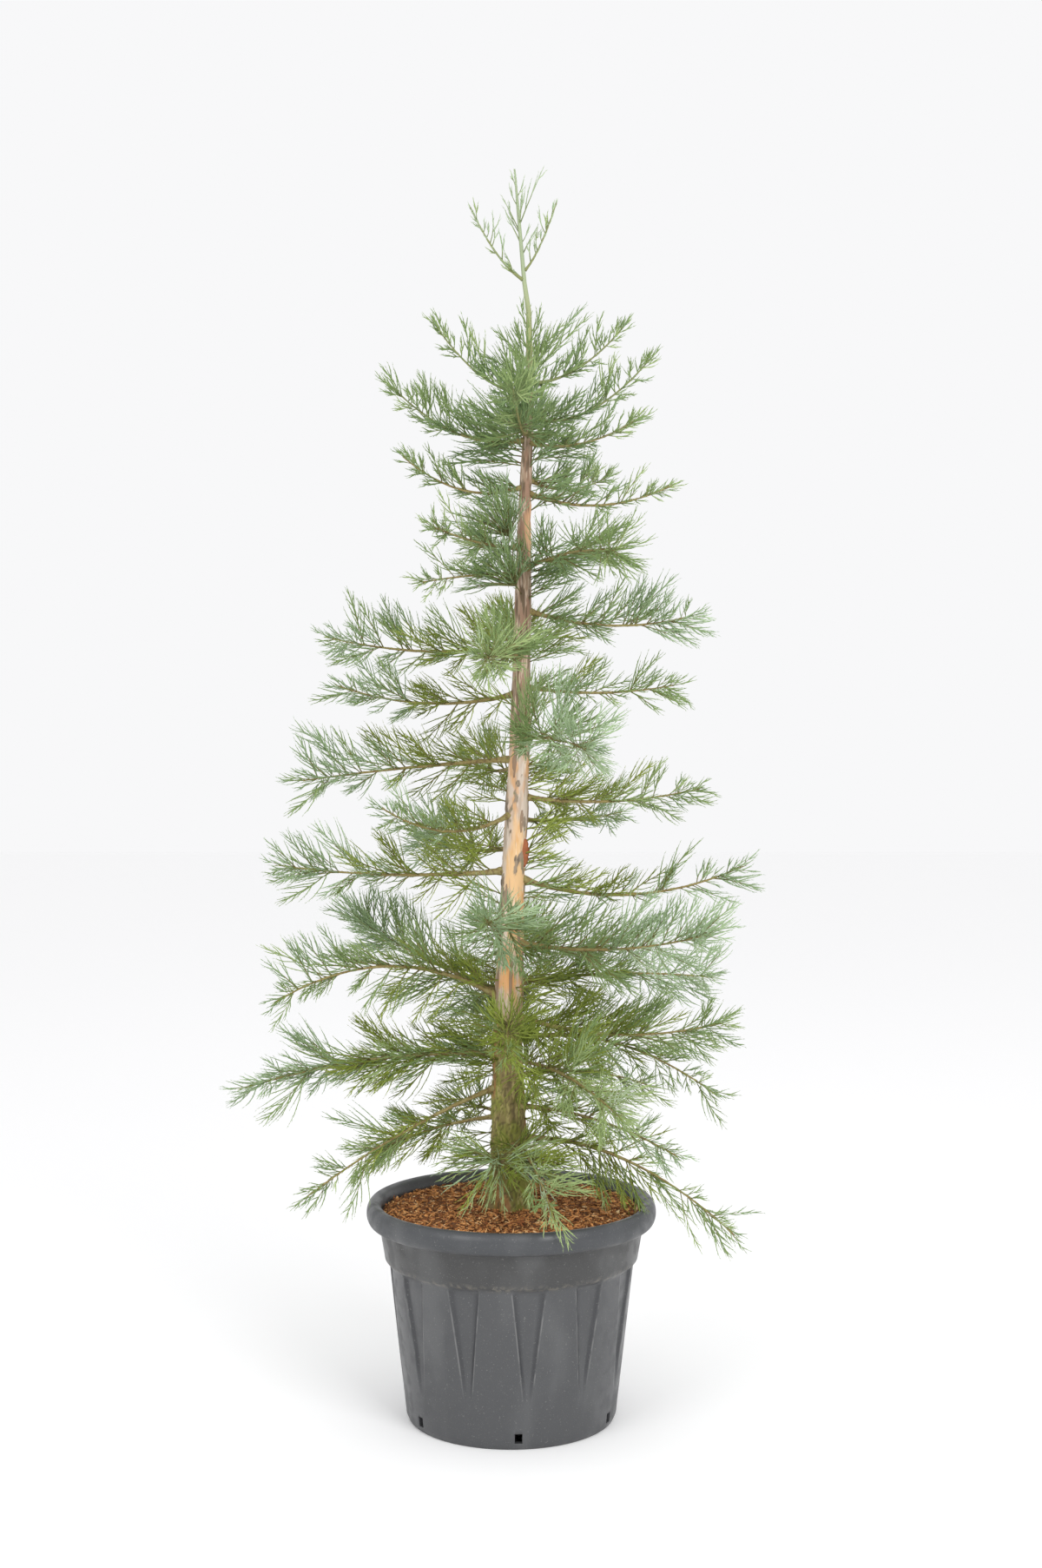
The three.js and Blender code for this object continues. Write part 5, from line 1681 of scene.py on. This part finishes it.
def twig_finish():
    """Young wood, olive with brown patches, greener high up."""
    finish = Finish("twig bark", (120, 118, 66), 0.75)
    finish.patches([((122, 98, 62), 90, 1, 0.52, 0.62, 0.7)])
    finish.layer((128, 142, 92), finish.height_mask(1.95, 2.1))
    finish.bump(500, 1, 0.5, 0.0005, 0.6)
    return finish.material


needle_materials = [needle_finish(name, colour) for name, colour in TINTS.items()]
twig_material = twig_finish()
ZONES = {
    "skirt": ["low"], "lower": ["lower", "front"], "tier3": ["tier3"], "tier4": ["tier4"],
    "tier5": ["tier5"], "tier6": ["tier6"], "tier7": ["tier7"], "tier8": ["tier8", "tier9"],
    "whorl": ["whorl"], "crown": ["crest", "leader"],
}
print(f"{len(needle_materials)} tints of needles, {len(ZONES)} zones")

# %% [markdown]
# ## Shoots on the leader
#
# The top half metre of the trunk is this year's and last year's growth. Its few boughs are slim,
# and round them it has steep short shoots and needles on its own green skin. Those could be set
# one by one too, but here a rule is as good: a golden-angle spiral up the trunk, with shorter
# shoots towards the tip. The solids leave them out as too fine.

# %% Leader shoots and the needles on bare wood
SHOOT_HEIGHTS = np.concatenate([np.arange(1.98, 2.25, 0.013), np.arange(2.42, 2.55, 0.019)])
LAST_YEAR_TOP, SHORTER_FROM, SHORTER = 2.4, 2.08, 0.25
LEADER_SHOOT_RADIUS, LEADER_SHOOT_STOUTNESS = 0.0011, 1.3
OLD_GAP, YOUNG_GAP = 0.012, 0.04
NEEDLES_PER_METRE, LEADER_NEEDLES_PER_METRE = 260, 1500
SKIN_NEEDLES, SKIN_NEEDLE_LENGTH, SKIN_NEEDLE_WIDTH = 900, 0.0095, 1.3 * NEEDLE_WIDTH


def leader_twigs(random):
    """Steep shoots round the top of the trunk: last year's below, this year's short ones above."""
    shoots = []
    for i, height in enumerate(SHOOT_HEIGHTS):
        old = height < LAST_YEAR_TOP
        length = random.uniform(0.09, 0.15) if old else random.uniform(0.03, 0.075)
        length -= SHORTER * max(0, height - SHORTER_FROM) if old else 0
        root, sideways = trunk_point(height), level_way(GOLDEN * i)
        middle = root + (0.62 * sideways + 0.78 * UP) * length / 2
        tip = middle + (0.22 * sideways + 0.97 * UP) * length / 2
        tip[2] = min(tip[2], trunk_high.z - 0.004)
        tint, gap = ("leaf", OLD_GAP) if old else ("pale", YOUNG_GAP)
        shoots.append(Twig(Arc(root, middle, tip), length, LEADER_SHOOT_RADIUS,
                           TINT_NAMES.index(tint), gap, LEADER_SHOOT_STOUTNESS))
    return shoots


def wood_needles(points, along, count, tint, size, random):
    """Needles that sit straight on wood, spread over the points of a line, and a tint for each face."""
    index = random.integers(0, len(points), count)
    roll = random.uniform(0, 2 * np.pi, count)
    length, width = size * random.uniform(0.8, 1.25, count), np.full(count, SKIN_NEEDLE_WIDTH)
    made_points, made_faces = needles(points[index], along[index], roll, length, width)
    return made_points, made_faces, np.full(len(made_faces), TINT_NAMES.index(tint))


def needles_on_bough(bough, random):
    """Old brown-green needles along the outer part of a bough."""
    line = bough_line(bough)
    share = np.linspace(0.25, 1.0, 240)
    per_metre = LEADER_NEEDLES_PER_METRE if bough.name.startswith("leader") else NEEDLES_PER_METRE
    size = 0.0075 + bough_radius(bough, 0.5)
    count = int(bough.reach * per_metre)
    return wood_needles(line.point(share), line.heading(share), count, bough.inner, size, random)


def needles_on_leader(random):
    """Green needles on the skin of the leader."""
    line = trunk_point(np.linspace(2.10, trunk_high.z - 0.006, 500))
    along = unit(np.gradient(line, axis=0))
    return wood_needles(line, along, SKIN_NEEDLES, "pale", SKIN_NEEDLE_LENGTH, random)


print(f"{len(SHOOT_HEIGHTS)} shoots round the leader, {SKIN_NEEDLES} needles on its skin")

# %% Grow the zones
def twig_wood(twigs):
    """The wood of many twigs, four-sided and tapering."""
    share = np.linspace(0, 0.9, 4)
    lines = np.stack([twig.line.point(share) for twig in twigs])
    radii = np.array([twig.radius for twig in twigs])[:, None] * (1 - 0.65 * share)
    return tubes(lines, radii, 4)


def grow_zone(zone, prefixes):
    """One mesh of twigs and one of needles for the boughs of a zone."""
    random = np.random.default_rng(50 + list(ZONES).index(zone))
    boughs = [bough for bough in BOUGHS if bough.name.split("_")[0] in prefixes]
    twigs = [twig for bough in boughs for twig in twigs_of[bough.name]]
    twigs += [twig for prefix in prefixes for twig in trunk_shoots(prefix) + fans(prefix)]
    twigs += [twig for bough in boughs for twig in sprays(bough)]
    if zone == "crown":
        twigs += leader_twigs(random)
    parts = [clad_cords(joined_cords([cords_of(twig, random) for twig in twigs]), random)]
    parts += [needles_on_bough(bough, random) for bough in boughs]
    if zone == "crown":
        parts.append(needles_on_leader(random))
    points, faces = join([part[:2] for part in parts])
    tint = np.concatenate([part[2] for part in parts])
    nodes = [f"foliage_{bough.name}" for bough in boughs]
    needle_piece = make_mesh(f"needles_{zone}", points, faces, needle_materials, tint, smooth=False)
    twig_piece = make_mesh(f"twigs_{zone}", *twig_wood(twigs), [twig_material])
    return settle(needle_piece, "foliage", *nodes) + settle(twig_piece, "bough", *nodes)


foliage_triangles = sum(grow_zone(zone, prefixes) for zone, prefixes in ZONES.items())
total_triangles += foliage_triangles
print(f"foliage: {foliage_triangles} triangles, whole plant: {total_triangles}")

# %% [markdown]
# The visual plant must fill the same box as the solids.
